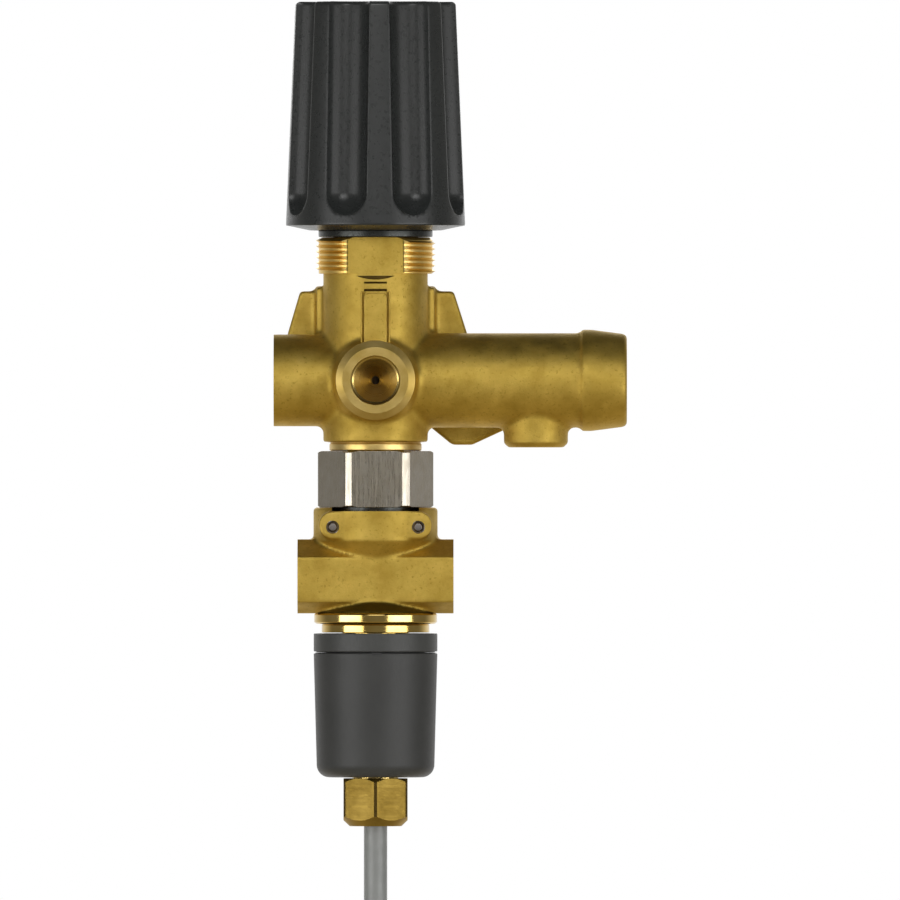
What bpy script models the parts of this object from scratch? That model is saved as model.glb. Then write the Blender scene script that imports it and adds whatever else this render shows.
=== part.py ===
"""High pressure regulator: an unloader valve with a pressure switch hung under it.

The valve axis is vertical.  The two flow barrels cross it at height zero, inlet to the left (-X) and
outlet to the right (+X), and the gauge port faces the viewer (-Y).  The origin lies on the flat rear
face that bolts to a pump head.  All sizes are in metres.
"""

import math

import bmesh
import bpy
from mathutils import Matrix, Vector

# Clearances
GAP = 0.0003
RUN_GAP = 0.0003

# Travel of the moving pieces
SCREW_IN = 0.0045
SCREW_OUT = 0.003
SWITCH_TRAVEL = 0.0006

# Forged valve housing
AXIS_TO_REAR = 0.016
NECK_RADIUS = 0.0141
NECK_BOTTOM = -0.0166
THREAD_FOOT = 0.0288
THREAD_RADIUS = 0.0162
THREAD_LENGTH = 0.0098
THREAD_CHAMFER = 0.0008
WRENCH_FLAT = 0.01325
FOOT_RING_RADIUS = 0.01245
FOOT_RING_HEIGHT = 0.00245
INLET_RADIUS = 0.0124
INLET_REACH = 0.0275
OUTLET_RADIUS = 0.01275
OUTLET_REACH = 0.0679
COLLAR_RADIUS = 0.0137
COLLAR_LENGTH = 0.0121
COLLAR_END_RADIUS = 0.0126
END_ROUND = 0.0014
BARREL_ROUND = 0.0006
GAUGE_RADIUS = 0.0107
GAUGE_REACH = 0.022
GAUGE_ROOT_RADIUS = 0.0128
PAD_HALF_WIDTH = 0.0163
PAD_TOP = 0.0255
PAD_FRONT = 0.003
PLATE_THICKNESS = 0.008
WING_TOP = 0.0241
WING_TOP_LEFT = 0.0204
WING_TOP_RIGHT = 0.0211
WING_FOOT_LEFT = 0.0238
WING_FOOT_RIGHT = 0.0248
WING_FOOT = 0.0125
PLATE_LOW = -0.0105
LUG_LOW = -0.0174
LUG_LEFT = 0.0207
LUG_RIGHT = 0.0261
LUG_TIP = 0.038
PLATE_CORNER = 0.0014
BLANK_BOSS_X = 0.0433
BLANK_BOSS_RADIUS = 0.00865
BLANK_BOSS_LOW = -0.0181
RIB_HALF_WIDTH = 0.0036
RIB_LOW = 0.008
RIB_TOP = 0.0239
RIB_PROUD = 0.0017
STEP_HALF_WIDTH = 0.0029
STEP_HEIGHT = 0.0019

# Bores of the housing
PORT_RADIUS = 0.0079
PORT_DEPTH = 0.014
PORT_CHAMFER = 0.0009
INLET_WAY_RADIUS = 0.0055
GUIDE_RADIUS = 0.007
GAUGE_BORE_RADIUS = 0.0063
GAUGE_CHAMFER = 0.0012
GAUGE_BORE_DEPTH = 0.0085
DRILL_HALF_ANGLE = math.radians(59)
ORIFICE_RADIUS = 0.0011
FIXING_RADIUS = 0.0025
FIXING_DEPTH = 0.0065
WING_FIXING_X = 0.018
WING_FIXING_Z = 0.0155
LUG_FIXING_X = 0.0235
LUG_FIXING_Z = -0.0105

# Bypass seat, piston and spring
SEAT_HEIGHT = 0.0045
SEAT_HOLE_RADIUS = 0.0032
SEAT_CHAMFER = 0.0012
SEAT_WALL = 0.0044
RING_SECTION = 0.0007
STEM_RADIUS = 0.0025
CONE_RADIUS = 0.0048
PISTON_LENGTH = 0.0117
SPRING_FLOOR = 0.0212
SEAL_HEIGHT = 0.002
SEAL_DEPTH = 0.0017
BACKUP_HEIGHT = 0.0013
NOSE_RADIUS = 0.003
NOSE_HEIGHT = 0.0025
PLATE_RIM = 0.0092
LOWER_PLATE_HEIGHT = 0.0042
UPPER_PLATE_HEIGHT = 0.0037
PLATE_SPIGOT = 0.0038
SPRING_CHAMBER_GAP = 0.001
MAIN_SPRING_LENGTH = 0.0317
MAIN_SPRING_RADIUS = 0.0077
MAIN_WIRE = 0.003
MAIN_PITCH = 0.0056

# Bonnet, spindle and knob
BONNET_FLANGE_RADIUS = 0.0154
BONNET_FLANGE = 0.0016
BONNET_RADIUS = 0.0125
BONNET_BORE_GAP = 0.0004
BONNET_SKIRT = 0.0073
BONNET_SKIRT_WALL = 0.0016
BONNET_TOP = 0.006
BONNET_HEADROOM = 0.003
SPINDLE_RADIUS = 0.005
SCREW_SHANK_RADIUS = 0.0026
SCREW_SHANK = 0.0095
SCREW_HEAD_RADIUS = 0.005
SCREW_HEAD = 0.0027
SCREW_SOCKET = 0.004
KNOB_HEIGHT = 0.0617
KNOB_FOOT_RADIUS = 0.0242
KNOB_TOP_RADIUS = 0.0216
KNOB_EDGE_ROUND = 0.0011
KNOB_FOOT_CONE = 0.00135
KNOB_FOOT_FLAT = 0.0178
KNOB_MOUTH_CLEAR = 0.001
KNOB_HUB_CLEAR = 0.0014
KNOB_RECESS_RADIUS = 0.0086
KNOB_RECESS = 0.0054
KNOB_COVER = 0.0016
KNOB_WEB = 0.0045
FLUTES = 8
FLUTE_PHASE = math.radians(2.8)
FLUTE_RADIUS = 0.0062
FLUTE_AXIS_OUT = 0.0015
FLUTE_END = 0.0038

# Check valve in the outlet barrel
CHECK_SEAT_X = 0.019
CHECK_WAY_RADIUS = 0.0046
CHECK_CHAMFER = 0.0015
CHECK_CHAMBER_RADIUS = 0.007
CHECK_HEAD_RADIUS = 0.0062
CHECK_HEAD = 0.005
CHECK_STEM_RADIUS = 0.0015
CHECK_STEM_SEAT = 0.003
GUIDE_FLANGE = 0.0015
GUIDE_HUB = 0.0045
GUIDE_HOLES = 4
GUIDE_HOLE_RADIUS = 0.0014
CHECK_SPRING_RADIUS = 0.003
CHECK_WIRE = 0.0007
CHECK_PITCH = 0.0042

# Swivel nipple
NIPPLE_HEX = 0.0274
NIPPLE_CORNER = 0.002
NIPPLE_TURN = math.radians(2)
NIPPLE_HEX_HEIGHT = 0.01465
NIPPLE_SPIGOT = 0.00575
NIPPLE_SPIGOT_RADIUS = 0.0076
NIPPLE_BORE_RADIUS = 0.005
TAIL_RADIUS = 0.0119
TAIL_LENGTH = 0.0109
TAIL_SEAL_UP = 0.0017

# Switch block
BLOCK_SLOT = 0.001
BLOCK_SLOT_HALF = 0.0123
BLOCK_RADIUS = 0.01675
BLOCK_COLLAR = 0.009
BLOCK_CONE = 0.0044
PIN_DROP = 0.0053
PIN_SPAN = 0.0231
PIN_RADIUS = 0.00125
PIN_HOLE_RADIUS = 0.00175
PIN_SUNK = 0.0006
PIN_BOSS_HEIGHT = 0.0075
PIN_BOSS_HALF = 0.0153
PIN_BOSS_FACE = 0.0145
BAR_HALF_LENGTH = 0.02105
BAR_DROP = 0.0086
BAR_HEIGHT = 0.02
BAR_HALF_DEPTH = 0.013
BAR_UPPER_CHAMFER = 0.0048
BAR_LOWER_CHAMFER = 0.0031
BAR_TOP_HALF = 0.0045
BAR_LOW_HALF = 0.005
RETURN_PORT_DEPTH = 0.0085
RETURN_WAY_RADIUS = 0.0055
DROP_WAY_RADIUS = 0.0055

# Adapter and pressure pin of the switch
ADAPTER_RING_RADIUS = 0.0166
ADAPTER_RING = 0.0027
ADAPTER_NECK_RADIUS = 0.01455
ADAPTER_NECK = 0.0021
ADAPTER_SPIGOT_RADIUS = 0.0085
ADAPTER_SPIGOT = 0.005
ADAPTER_SEAL_UP = 0.002
ADAPTER_TAIL_RADIUS = 0.009
ADAPTER_TAIL = 0.0082
ADAPTER_FLOOR = 0.006
CONTROL_RADIUS = 0.0057
CONTROL_SUNK = 0.0012
CONTROL_HEAD = 0.004
CONTROL_STEM_RADIUS = 0.002
CONTROL_STEM_OUT = 0.0008
RETURN_SPRING_RADIUS = 0.0043
RETURN_WIRE = 0.0009
RETURN_PITCH = 0.0021

# Switch housing and its inside
BASE_RADIUS = 0.0167
BASE_HEIGHT = 0.0049
BASE_SPIGOT = 0.003
BASE_SPIGOT_WALL = 0.0015
CAP_FOOT_RADIUS = 0.0159
CAP_HEIGHT = 0.03365
CAP_WALL = 0.0024
CAP_FLOOR = 0.0031
CAP_CHAMFER = 0.0034
BASE_NUT_HEX = 0.021
BASE_NUT = 0.0024
CARRIER_PLATE = 0.0015
CARRIER_CHEEK = 0.0013
CARRIER_DROP = 0.0125
MICRO_LENGTH = 0.02
MICRO_WIDTH = 0.0064
MICRO_HEIGHT = 0.0102
BUTTON_RADIUS = 0.0012
BUTTON_OUT = 0.0018
BUTTON_SUNK = 0.0018
CARRIER_PIN_X = 0.0048
CARRIER_PIN_RADIUS = 0.0011
TERMINALS = 3
TERMINAL_PITCH = 0.0065
TERMINAL_WIDTH = 0.003
TERMINAL_LENGTH = 0.0055
TERMINAL_THICKNESS = 0.0008
CORE_RADIUS = 0.0009
CORE_PITCH = 0.0019

# Cable gland
GLAND_HEX = 0.0173
GLAND_NUT = 0.0129
GLAND_CHAMFER = 0.0026
GLAND_TOP_CHAMFER = 0.0013
GLAND_FOOT_RADIUS = 0.0070
GLAND_TUBE_RADIUS = 0.0062
GLAND_TUBE = 0.0103
GLAND_FLANGE_RADIUS = 0.009
GLAND_FLANGE = 0.002
GLAND_SEAL_RADIUS = 0.0047
GLAND_SEAL_SUNK = 0.0048
GLAND_NUT_FLOOR = 0.0032
LEAD_RADIUS = 0.00315
LEAD_CLEAR = 0.0004

# Connection lead outside the switch
LEAD_STRAIGHT = 0.026
LEAD_BEND = 0.026
COIL_INNER_RADIUS = 0.0247
COIL_LAYERS = 3
COIL_WIDTH_TURNS = 2
TIE_WIDTH = 0.0045
TIE_THICKNESS = 0.0012
TIE_ANGLE = math.radians(118)

# Fineness of round shapes
KNOB_SIDES = 40
FINE = 28
MEDIUM = 20
SMALL = 16
RING_SIDES = 5

# Heights that follow from the sizes above, from the knob down to the lead
NECK_TOP = THREAD_FOOT + THREAD_LENGTH
HOUSING_LOW = NECK_BOTTOM - FOOT_RING_HEIGHT
NIPPLE_TOP = HOUSING_LOW - GAP
SEAT_LOW = NIPPLE_TOP + NIPPLE_SPIGOT + GAP
SEAT_TOP = SEAT_LOW + SEAT_HEIGHT
SEAT_RADIUS = SEAT_HOLE_RADIUS + SEAT_WALL
SEAT_BORE_RADIUS = max(SEAT_RADIUS, NIPPLE_SPIGOT_RADIUS) + GAP
PISTON_TOP = SPRING_FLOOR + GAP
PISTON_RADIUS = GUIDE_RADIUS - RUN_GAP
LOWER_PLATE_LOW = PISTON_TOP + GAP
LOWER_PLATE_TOP = LOWER_PLATE_LOW + LOWER_PLATE_HEIGHT
SPRING_LOW = LOWER_PLATE_TOP + GAP
SPRING_HIGH = SPRING_LOW + MAIN_SPRING_LENGTH
UPPER_PLATE_LOW = SPRING_HIGH + GAP
UPPER_PLATE_TOP = UPPER_PLATE_LOW + UPPER_PLATE_HEIGHT
BONNET_BORE_RADIUS = PLATE_RIM + BONNET_BORE_GAP
SPRING_CHAMBER_RADIUS = PLATE_RIM + SPRING_CHAMBER_GAP
SKIRT_RADIUS = BONNET_BORE_RADIUS + BONNET_SKIRT_WALL
FLANGE_LOW = NECK_TOP + GAP
FLANGE_TOP = FLANGE_LOW + BONNET_FLANGE
BONNET_CEILING = UPPER_PLATE_TOP + SCREW_OUT + BONNET_HEADROOM
BONNET_HIGH = BONNET_CEILING + BONNET_TOP
KNOB_LOW = FLANGE_TOP
KNOB_HIGH = KNOB_LOW + KNOB_HEIGHT
KNOB_CEILING = BONNET_HIGH + SCREW_IN + BONNET_HEADROOM
RECESS_FLOOR = KNOB_HIGH - KNOB_RECESS
SPINDLE_HIGH = RECESS_FLOOR - KNOB_WEB - GAP
SPINDLE_HEX = 1.72 * SPINDLE_RADIUS

HEX_LOW = NIPPLE_TOP - NIPPLE_HEX_HEIGHT
TAIL_LOW = HEX_LOW - TAIL_LENGTH
BLOCK_TOP = HEX_LOW - GAP
PIN_HEIGHT = BLOCK_TOP - PIN_DROP
TAIL_BORE_RADIUS = TAIL_RADIUS + 0.0004
TAIL_FLOOR = TAIL_LOW - GAP
BAR_TOP = BLOCK_TOP - BAR_DROP
BAR_LOW = BAR_TOP - BAR_HEIGHT
RETURN_AXIS = (BAR_TOP - BAR_UPPER_CHAMFER + BAR_LOW + BAR_LOWER_CHAMFER) / 2
ADAPTER_TOP = BAR_LOW - GAP
RING_LOW = ADAPTER_TOP - ADAPTER_RING
ADAPTER_NECK_LOW = RING_LOW - ADAPTER_NECK
SPIGOT_TOP = ADAPTER_TOP + ADAPTER_SPIGOT
ADAPTER_LOW = ADAPTER_NECK_LOW - ADAPTER_TAIL
CONTROL_TOP = SPIGOT_TOP - CONTROL_SUNK
CONTROL_HEAD_LOW = CONTROL_TOP - CONTROL_HEAD
CONTROL_BORE_FLOOR = ADAPTER_LOW + ADAPTER_FLOOR
CONTROL_LOW = ADAPTER_LOW - CONTROL_STEM_OUT
BASE_TOP = ADAPTER_NECK_LOW - GAP
BASE_LOW = BASE_TOP - BASE_HEIGHT
BASE_END = BASE_LOW - BASE_SPIGOT
CAP_TOP = BASE_LOW - GAP
CAP_LOW = CAP_TOP - CAP_HEIGHT
CAP_BORE_RADIUS = CAP_FOOT_RADIUS - CAP_WALL
CARRIER_TOP = BASE_END - GAP
MICRO_TOP = CARRIER_TOP - CARRIER_PLATE - GAP
MICRO_LOW = MICRO_TOP - MICRO_HEIGHT
BUTTON_TOP = min(MICRO_TOP + BUTTON_OUT, CONTROL_LOW - GAP)
GLAND_TOP = CAP_LOW - GAP
GLAND_LOW = GLAND_TOP - GLAND_NUT
FLANGE_SEAT = CAP_LOW + CAP_FLOOR + GAP
LEAD_TOP = FLANGE_SEAT + GLAND_FLANGE + 0.001
COIL_OUTER_RADIUS = COIL_INNER_RADIUS + 2 * LEAD_RADIUS * COIL_LAYERS
COIL_HALF_WIDTH = LEAD_RADIUS * COIL_WIDTH_TURNS

UP = Vector((0, 0, 1))
LEFT = Vector((-1, 0, 0))
RIGHT = Vector((1, 0, 0))
FRONT = Vector((0, -1, 0))
BACK = Vector((0, 1, 0))


def clear_scene():
    """Removes every object that the file opened with."""
    for obj in list(bpy.data.objects):
        bpy.data.objects.remove(obj)


def make_material(name, colour, roughness, metallic):
    """Returns a Principled material with one colour."""
    material = bpy.data.materials.new(name)
    material.use_nodes = True
    shader = material.node_tree.nodes["Principled BSDF"]
    shader.inputs["Base Color"].default_value = (*colour, 1)
    shader.inputs["Roughness"].default_value = roughness
    shader.inputs["Metallic"].default_value = metallic
    return material


class Workshop:
    """Places pieces on the valve axis and keeps the materials and hidden cutters."""

    def __init__(self):
        self.axis = bpy.data.objects.new("valve_axis", None)
        self.axis.location = (0, -AXIS_TO_REAR, 0)
        bpy.context.scene.collection.objects.link(self.axis)
        self.materials = {
            "forged_brass": make_material("forged_brass", (0.62, 0.47, 0.16), 0.38, 1),
            "turned_brass": make_material("turned_brass", (0.74, 0.56, 0.24), 0.2, 1),
            "steel": make_material("steel", (0.46, 0.44, 0.41), 0.3, 1),
            "spring_steel": make_material("spring_steel", (0.35, 0.35, 0.36), 0.35, 1),
            "black_steel": make_material("black_steel", (0.03, 0.035, 0.04), 0.3, 0.6),
            "knob_plastic": make_material("knob_plastic", (0.045, 0.05, 0.05), 0.5, 0),
            "case_plastic": make_material("case_plastic", (0.07, 0.07, 0.07), 0.55, 0),
            "seal_rubber": make_material("seal_rubber", (0.02, 0.02, 0.02), 0.6, 0),
            "seal_plastic": make_material("seal_plastic", (0.85, 0.84, 0.8), 0.45, 0),
            "lead_sheath": make_material("lead_sheath", (0.5, 0.51, 0.49), 0.5, 0),
            "core_brown": make_material("core_brown", (0.16, 0.07, 0.03), 0.5, 0),
        }

    def place(self, name, data, material=None):
        """Links an object on the valve axis. Without a material it is a hidden cutter."""
        obj = bpy.data.objects.new(name, data)
        bpy.context.scene.collection.objects.link(obj)
        obj.parent = self.axis
        if material:
            data.materials.append(self.materials[material])
        else:
            obj.hide_render = True
            obj.display_type = "WIRE"
        return obj

    def shape(self, name, form, material=None):
        """Turns an edited mesh into an object."""
        form.normal_update()
        bmesh.ops.recalc_face_normals(form, faces=form.faces)
        data = bpy.data.meshes.new(name)
        form.to_mesh(data)
        form.free()
        data.shade_smooth()
        data.set_sharp_from_angle(angle=math.radians(35))
        return self.place(name, data, material)


def combine(obj, tools, operation):
    """Adds one exact Boolean modifier for each tool."""
    for tool in tools:
        modifier = obj.modifiers.new(tool.name, "BOOLEAN")
        modifier.operation = operation
        modifier.solver = "EXACT"
        modifier.object = tool
    return obj


def join(obj, *tools):
    """Fuses the tools into the object."""
    return combine(obj, tools, "UNION")


def cut(obj, *tools):
    """Cuts the tools out of the object."""
    return combine(obj, tools, "DIFFERENCE")


def facing(direction, centre=(0, 0, 0)):
    """Returns the matrix that turns +Z to a direction and moves the origin to a centre."""
    turn = UP.rotation_difference(direction).to_matrix().to_4x4()
    return Matrix.Translation(centre) @ turn


def turned(profile, segments, direction=UP, centre=(0, 0, 0)):
    """Spins a (radius, height) profile. One that leaves the axis and returns to it makes a solid."""
    form = bmesh.new()
    points = [form.verts.new((radius, 0, height)) for radius, height in profile]
    edges = [form.edges.new(pair) for pair in zip(points, points[1:])]
    if profile[0][0] > 0:
        edges.append(form.edges.new((points[-1], points[0])))
    bmesh.ops.spin(
        form, geom=points + edges, axis=(0, 0, 1), angle=2 * math.pi, steps=segments, use_merge=True
    )
    bmesh.ops.remove_doubles(form, verts=form.verts, dist=1e-7)
    form.transform(facing(direction, centre))
    return form


def rod(radius, low, high, segments=MEDIUM, direction=UP, centre=(0, 0, 0)):
    """A plain round bar from one height to another along a direction."""
    return turned([(0, low), (radius, low), (radius, high), (0, high)], segments, direction, centre)


def tube(outer, inner, low, high, segments=MEDIUM, direction=UP, centre=(0, 0, 0)):
    """A plain ring or sleeve."""
    outline = [(outer, low), (outer, high), (inner, high), (inner, low)]
    return turned(outline, segments, direction, centre)


def arc(centre, radius, start, end, steps):
    """Points of a round stretch of an outline, angles in degrees."""
    turns = [math.radians(start + (end - start) * step / steps) for step in range(steps + 1)]
    return [(centre[0] + radius * math.cos(t), centre[1] + radius * math.sin(t)) for t in turns]


def block(low, high):
    """A box between two corners."""
    form = bmesh.new()
    bmesh.ops.create_cube(form, size=1)
    size = Vector(high) - Vector(low)
    middle = (Vector(high) + Vector(low)) / 2
    form.transform(Matrix.Translation(middle) @ Matrix.Diagonal((*size, 1)))
    return form


def extruded(outline, low, high, matrix=None, corner=0.0, steps=2):
    """Extrudes an (x, y) outline between two heights, with its upright edges rounded."""
    form = bmesh.new()
    face = form.faces.new([form.verts.new((x, y, low)) for x, y in outline])
    swept = bmesh.ops.extrude_face_region(form, geom=[face])["geom"]
    raised = [item for item in swept if isinstance(item, bmesh.types.BMVert)]
    bmesh.ops.translate(form, verts=raised, vec=(0, 0, high - low))
    if corner:
        upright = [e for e in form.edges if abs(e.verts[0].co.z - e.verts[1].co.z) > (high - low) / 2]
        bmesh.ops.bevel(form, geom=upright, offset=corner, segments=steps, affect="EDGES", profile=0.5)
    if matrix:
        form.transform(matrix)
    return form


def hexagon(across_flats, turn=0.0):
    """Corners of a hexagon with a flat towards the viewer."""
    reach = across_flats / 2 / math.cos(math.pi / 6)
    angles = [turn + math.radians(60 * k) for k in range(6)]
    return [(reach * math.cos(a), reach * math.sin(a)) for a in angles]


def o_ring(groove_floor, height):
    """A round-section sealing ring lying in a groove."""
    section = RING_SECTION - GAP / 2
    mean = groove_floor + GAP + section
    return turned(arc((mean, height), section, 0, 360 - 360 / RING_SIDES, RING_SIDES - 1), SMALL)


def coil_curve(name, low, high, radius, wire, pitch, per_turn=10):
    """A compression spring as a bevelled curve with one closed turn at each end."""
    bottom = low + wire / 2
    top = high - wire / 2
    closed = wire * 1.06
    live_turns = max(1, round((top - bottom - 2 * closed) / pitch))
    live_pitch = (top - bottom - 2 * closed) / live_turns
    turns = live_turns + 2
    curve = bpy.data.curves.new(name, "CURVE")
    curve.dimensions = "3D"
    spline = curve.splines.new("POLY")
    count = turns * per_turn + 1
    spline.points.add(count - 1)
    for step in range(count):
        turn = step / per_turn
        height = bottom + min(turn, 1) * closed
        height += min(max(turn - 1, 0), live_turns) * live_pitch
        height += max(turn - 1 - live_turns, 0) * closed
        angle = 2 * math.pi * turn
        spline.points[step].co = (radius * math.cos(angle), radius * math.sin(angle), height, 1)
    curve.bevel_depth = wire / 2
    curve.bevel_resolution = 1
    curve.use_fill_caps = True
    return curve


def cord_curve(name, points, radius, resolution):
    """A round cord through points, with filled ends."""
    curve = bpy.data.curves.new(name, "CURVE")
    curve.dimensions = "3D"
    spline = curve.splines.new("POLY")
    spline.points.add(len(points) - 1)
    for point, place in zip(spline.points, points):
        point.co = (*place, 1)
    curve.bevel_depth = radius
    curve.bevel_resolution = resolution
    curve.use_fill_caps = True
    return curve


def housing_outside(shop):
    """The forging before it is bored: neck, barrels, gauge boss, rear pad and bosses."""
    neck = turned(
        [
            (0, HOUSING_LOW),
            (FOOT_RING_RADIUS - BARREL_ROUND / 2, HOUSING_LOW),
            (FOOT_RING_RADIUS, HOUSING_LOW + BARREL_ROUND / 2),
            (FOOT_RING_RADIUS, NECK_BOTTOM - BARREL_ROUND / 2),
            (NECK_RADIUS - BARREL_ROUND, NECK_BOTTOM),
            (NECK_RADIUS, NECK_BOTTOM + BARREL_ROUND),
            (NECK_RADIUS, THREAD_FOOT),
            (THREAD_RADIUS - THREAD_CHAMFER, THREAD_FOOT),
            (THREAD_RADIUS, THREAD_FOOT + THREAD_CHAMFER),
            (THREAD_RADIUS, NECK_TOP - THREAD_CHAMFER),
            (THREAD_RADIUS - THREAD_CHAMFER, NECK_TOP),
            (0, NECK_TOP),
        ],
        FINE,
    )
    housing = shop.shape("valve_housing", neck, "forged_brass")
    inlet_end = (INLET_RADIUS - BARREL_ROUND, INLET_REACH)
    inlet = turned(
        [(0, 0), (INLET_RADIUS, 0), (INLET_RADIUS, INLET_REACH - BARREL_ROUND), inlet_end, (0, INLET_REACH)],
        FINE,
        LEFT,
    )
    collar_start = OUTLET_REACH - COLLAR_LENGTH
    end_round = arc(
        (COLLAR_END_RADIUS - END_ROUND, OUTLET_REACH - END_ROUND), END_ROUND, 10, 90, 3
    )
    outlet = turned(
        [
            (0, 0),
            (OUTLET_RADIUS, 0),
            (OUTLET_RADIUS, collar_start - BARREL_ROUND),
            (COLLAR_RADIUS, collar_start),
            (COLLAR_RADIUS, collar_start + COLLAR_LENGTH / 6),
            *end_round,
            (0, OUTLET_REACH),
        ],
        FINE,
        RIGHT,
    )
    gauge = turned(
        [
            (0, 0),
            (GAUGE_ROOT_RADIUS, 0),
            (GAUGE_ROOT_RADIUS, INLET_RADIUS * 0.75),
            (GAUGE_RADIUS + BARREL_ROUND, NECK_RADIUS),
            (GAUGE_RADIUS, NECK_RADIUS + BARREL_ROUND * 2),
            (GAUGE_RADIUS, GAUGE_REACH - BARREL_ROUND),
            (GAUGE_RADIUS - BARREL_ROUND, GAUGE_REACH),
            (0, GAUGE_REACH),
        ],
        FINE,
        FRONT,
    )
    blank_edge = BLANK_BOSS_RADIUS - END_ROUND
    blank = turned(
        [
            (0, 0),
            (BLANK_BOSS_RADIUS, 0),
            (BLANK_BOSS_RADIUS, -BLANK_BOSS_LOW - END_ROUND),
            (BLANK_BOSS_RADIUS - END_ROUND / 3, -BLANK_BOSS_LOW - END_ROUND / 3),
            (blank_edge, -BLANK_BOSS_LOW),
            (0, -BLANK_BOSS_LOW),
        ],
        MEDIUM,
        -UP,
        (BLANK_BOSS_X, 0, 0),
    )
    join(
        housing,
        shop.shape("inlet_barrel_form", inlet),
        shop.shape("outlet_barrel_form", outlet),
        shop.shape("gauge_boss_form", gauge),
        shop.shape("blank_boss_form", blank),
        *rear_plate(shop),
        *front_rib(shop),
    )
    return housing


def rear_plate(shop):
    """The bolting plate with its two wings and lower lug, and the pad that joins it to the neck."""
    lug_run = 1.23 * (PLATE_LOW - LUG_LOW)
    outline = [
        (-PAD_HALF_WIDTH, PAD_TOP),
        (-PAD_HALF_WIDTH, WING_TOP),
        (-WING_TOP_LEFT, WING_TOP),
        (-WING_FOOT_LEFT, WING_FOOT),
        (-WING_FOOT_LEFT, PLATE_LOW),
        (LUG_LEFT - lug_run, PLATE_LOW),
        (LUG_LEFT, LUG_LOW),
        (LUG_RIGHT, LUG_LOW),
        (LUG_TIP, PLATE_LOW - PLATE_CORNER),
        (LUG_TIP, PLATE_LOW + 3 * PLATE_CORNER),
        (WING_FOOT_RIGHT + PLATE_CORNER, 0),
        (WING_FOOT_RIGHT, WING_FOOT),
        (WING_TOP_RIGHT, WING_TOP),
        (PAD_HALF_WIDTH, WING_TOP),
        (PAD_HALF_WIDTH, PAD_TOP),
    ]
    front = AXIS_TO_REAR - PLATE_THICKNESS
    stand = Matrix.Rotation(math.radians(90), 4, "X")
    plate = extruded(outline, -AXIS_TO_REAR, -front, stand, PLATE_CORNER / 2)
    inset = PLATE_CORNER / 4
    pad = block(
        (inset - PAD_HALF_WIDTH, PAD_FRONT, PLATE_LOW + inset),
        (PAD_HALF_WIDTH - inset, front + PLATE_THICKNESS / 2, PAD_TOP - inset),
    )
    return shop.shape("rear_plate_form", plate), shop.shape("pad_form", pad)


def front_rib(shop):
    """The raised rib on the front of the neck, with the small step above it."""
    face = NECK_RADIUS + RIB_PROUD
    rib_outline = [
        (-RIB_HALF_WIDTH, RIB_LOW),
        (RIB_HALF_WIDTH, RIB_LOW),
        (RIB_HALF_WIDTH, RIB_TOP),
        (-RIB_HALF_WIDTH, RIB_TOP),
    ]
    stand = Matrix.Rotation(math.radians(90), 4, "X")
    rib = extruded(rib_outline, NECK_RADIUS / 2, face, stand, RIB_HALF_WIDTH / 3)
    step_top = min(RIB_TOP + 2 * GAP + STEP_HEIGHT, THREAD_FOOT - 2 * GAP)
    step = block(
        (-STEP_HALF_WIDTH, -face + RIB_PROUD / 3, RIB_TOP - BARREL_ROUND),
        (STEP_HALF_WIDTH, -NECK_RADIUS / 2, step_top),
    )
    return shop.shape("rib_form", rib), shop.shape("rib_step_form", step)


def port_cutter(reach, depth, way_radius, way_end, direction):
    """A threaded port's bore with a chamfered mouth and the narrower way behind it."""
    floor = reach - depth
    return turned(
        [
            (0, way_end),
            (way_radius, way_end),
            (way_radius, floor - (PORT_RADIUS - way_radius) / 2),
            (PORT_RADIUS, floor),
            (PORT_RADIUS, reach - PORT_CHAMFER),
            (PORT_RADIUS + 2 * PORT_CHAMFER, reach + PORT_CHAMFER),
            (0, reach + PORT_CHAMFER),
        ],
        MEDIUM,
        direction,
    )


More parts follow.
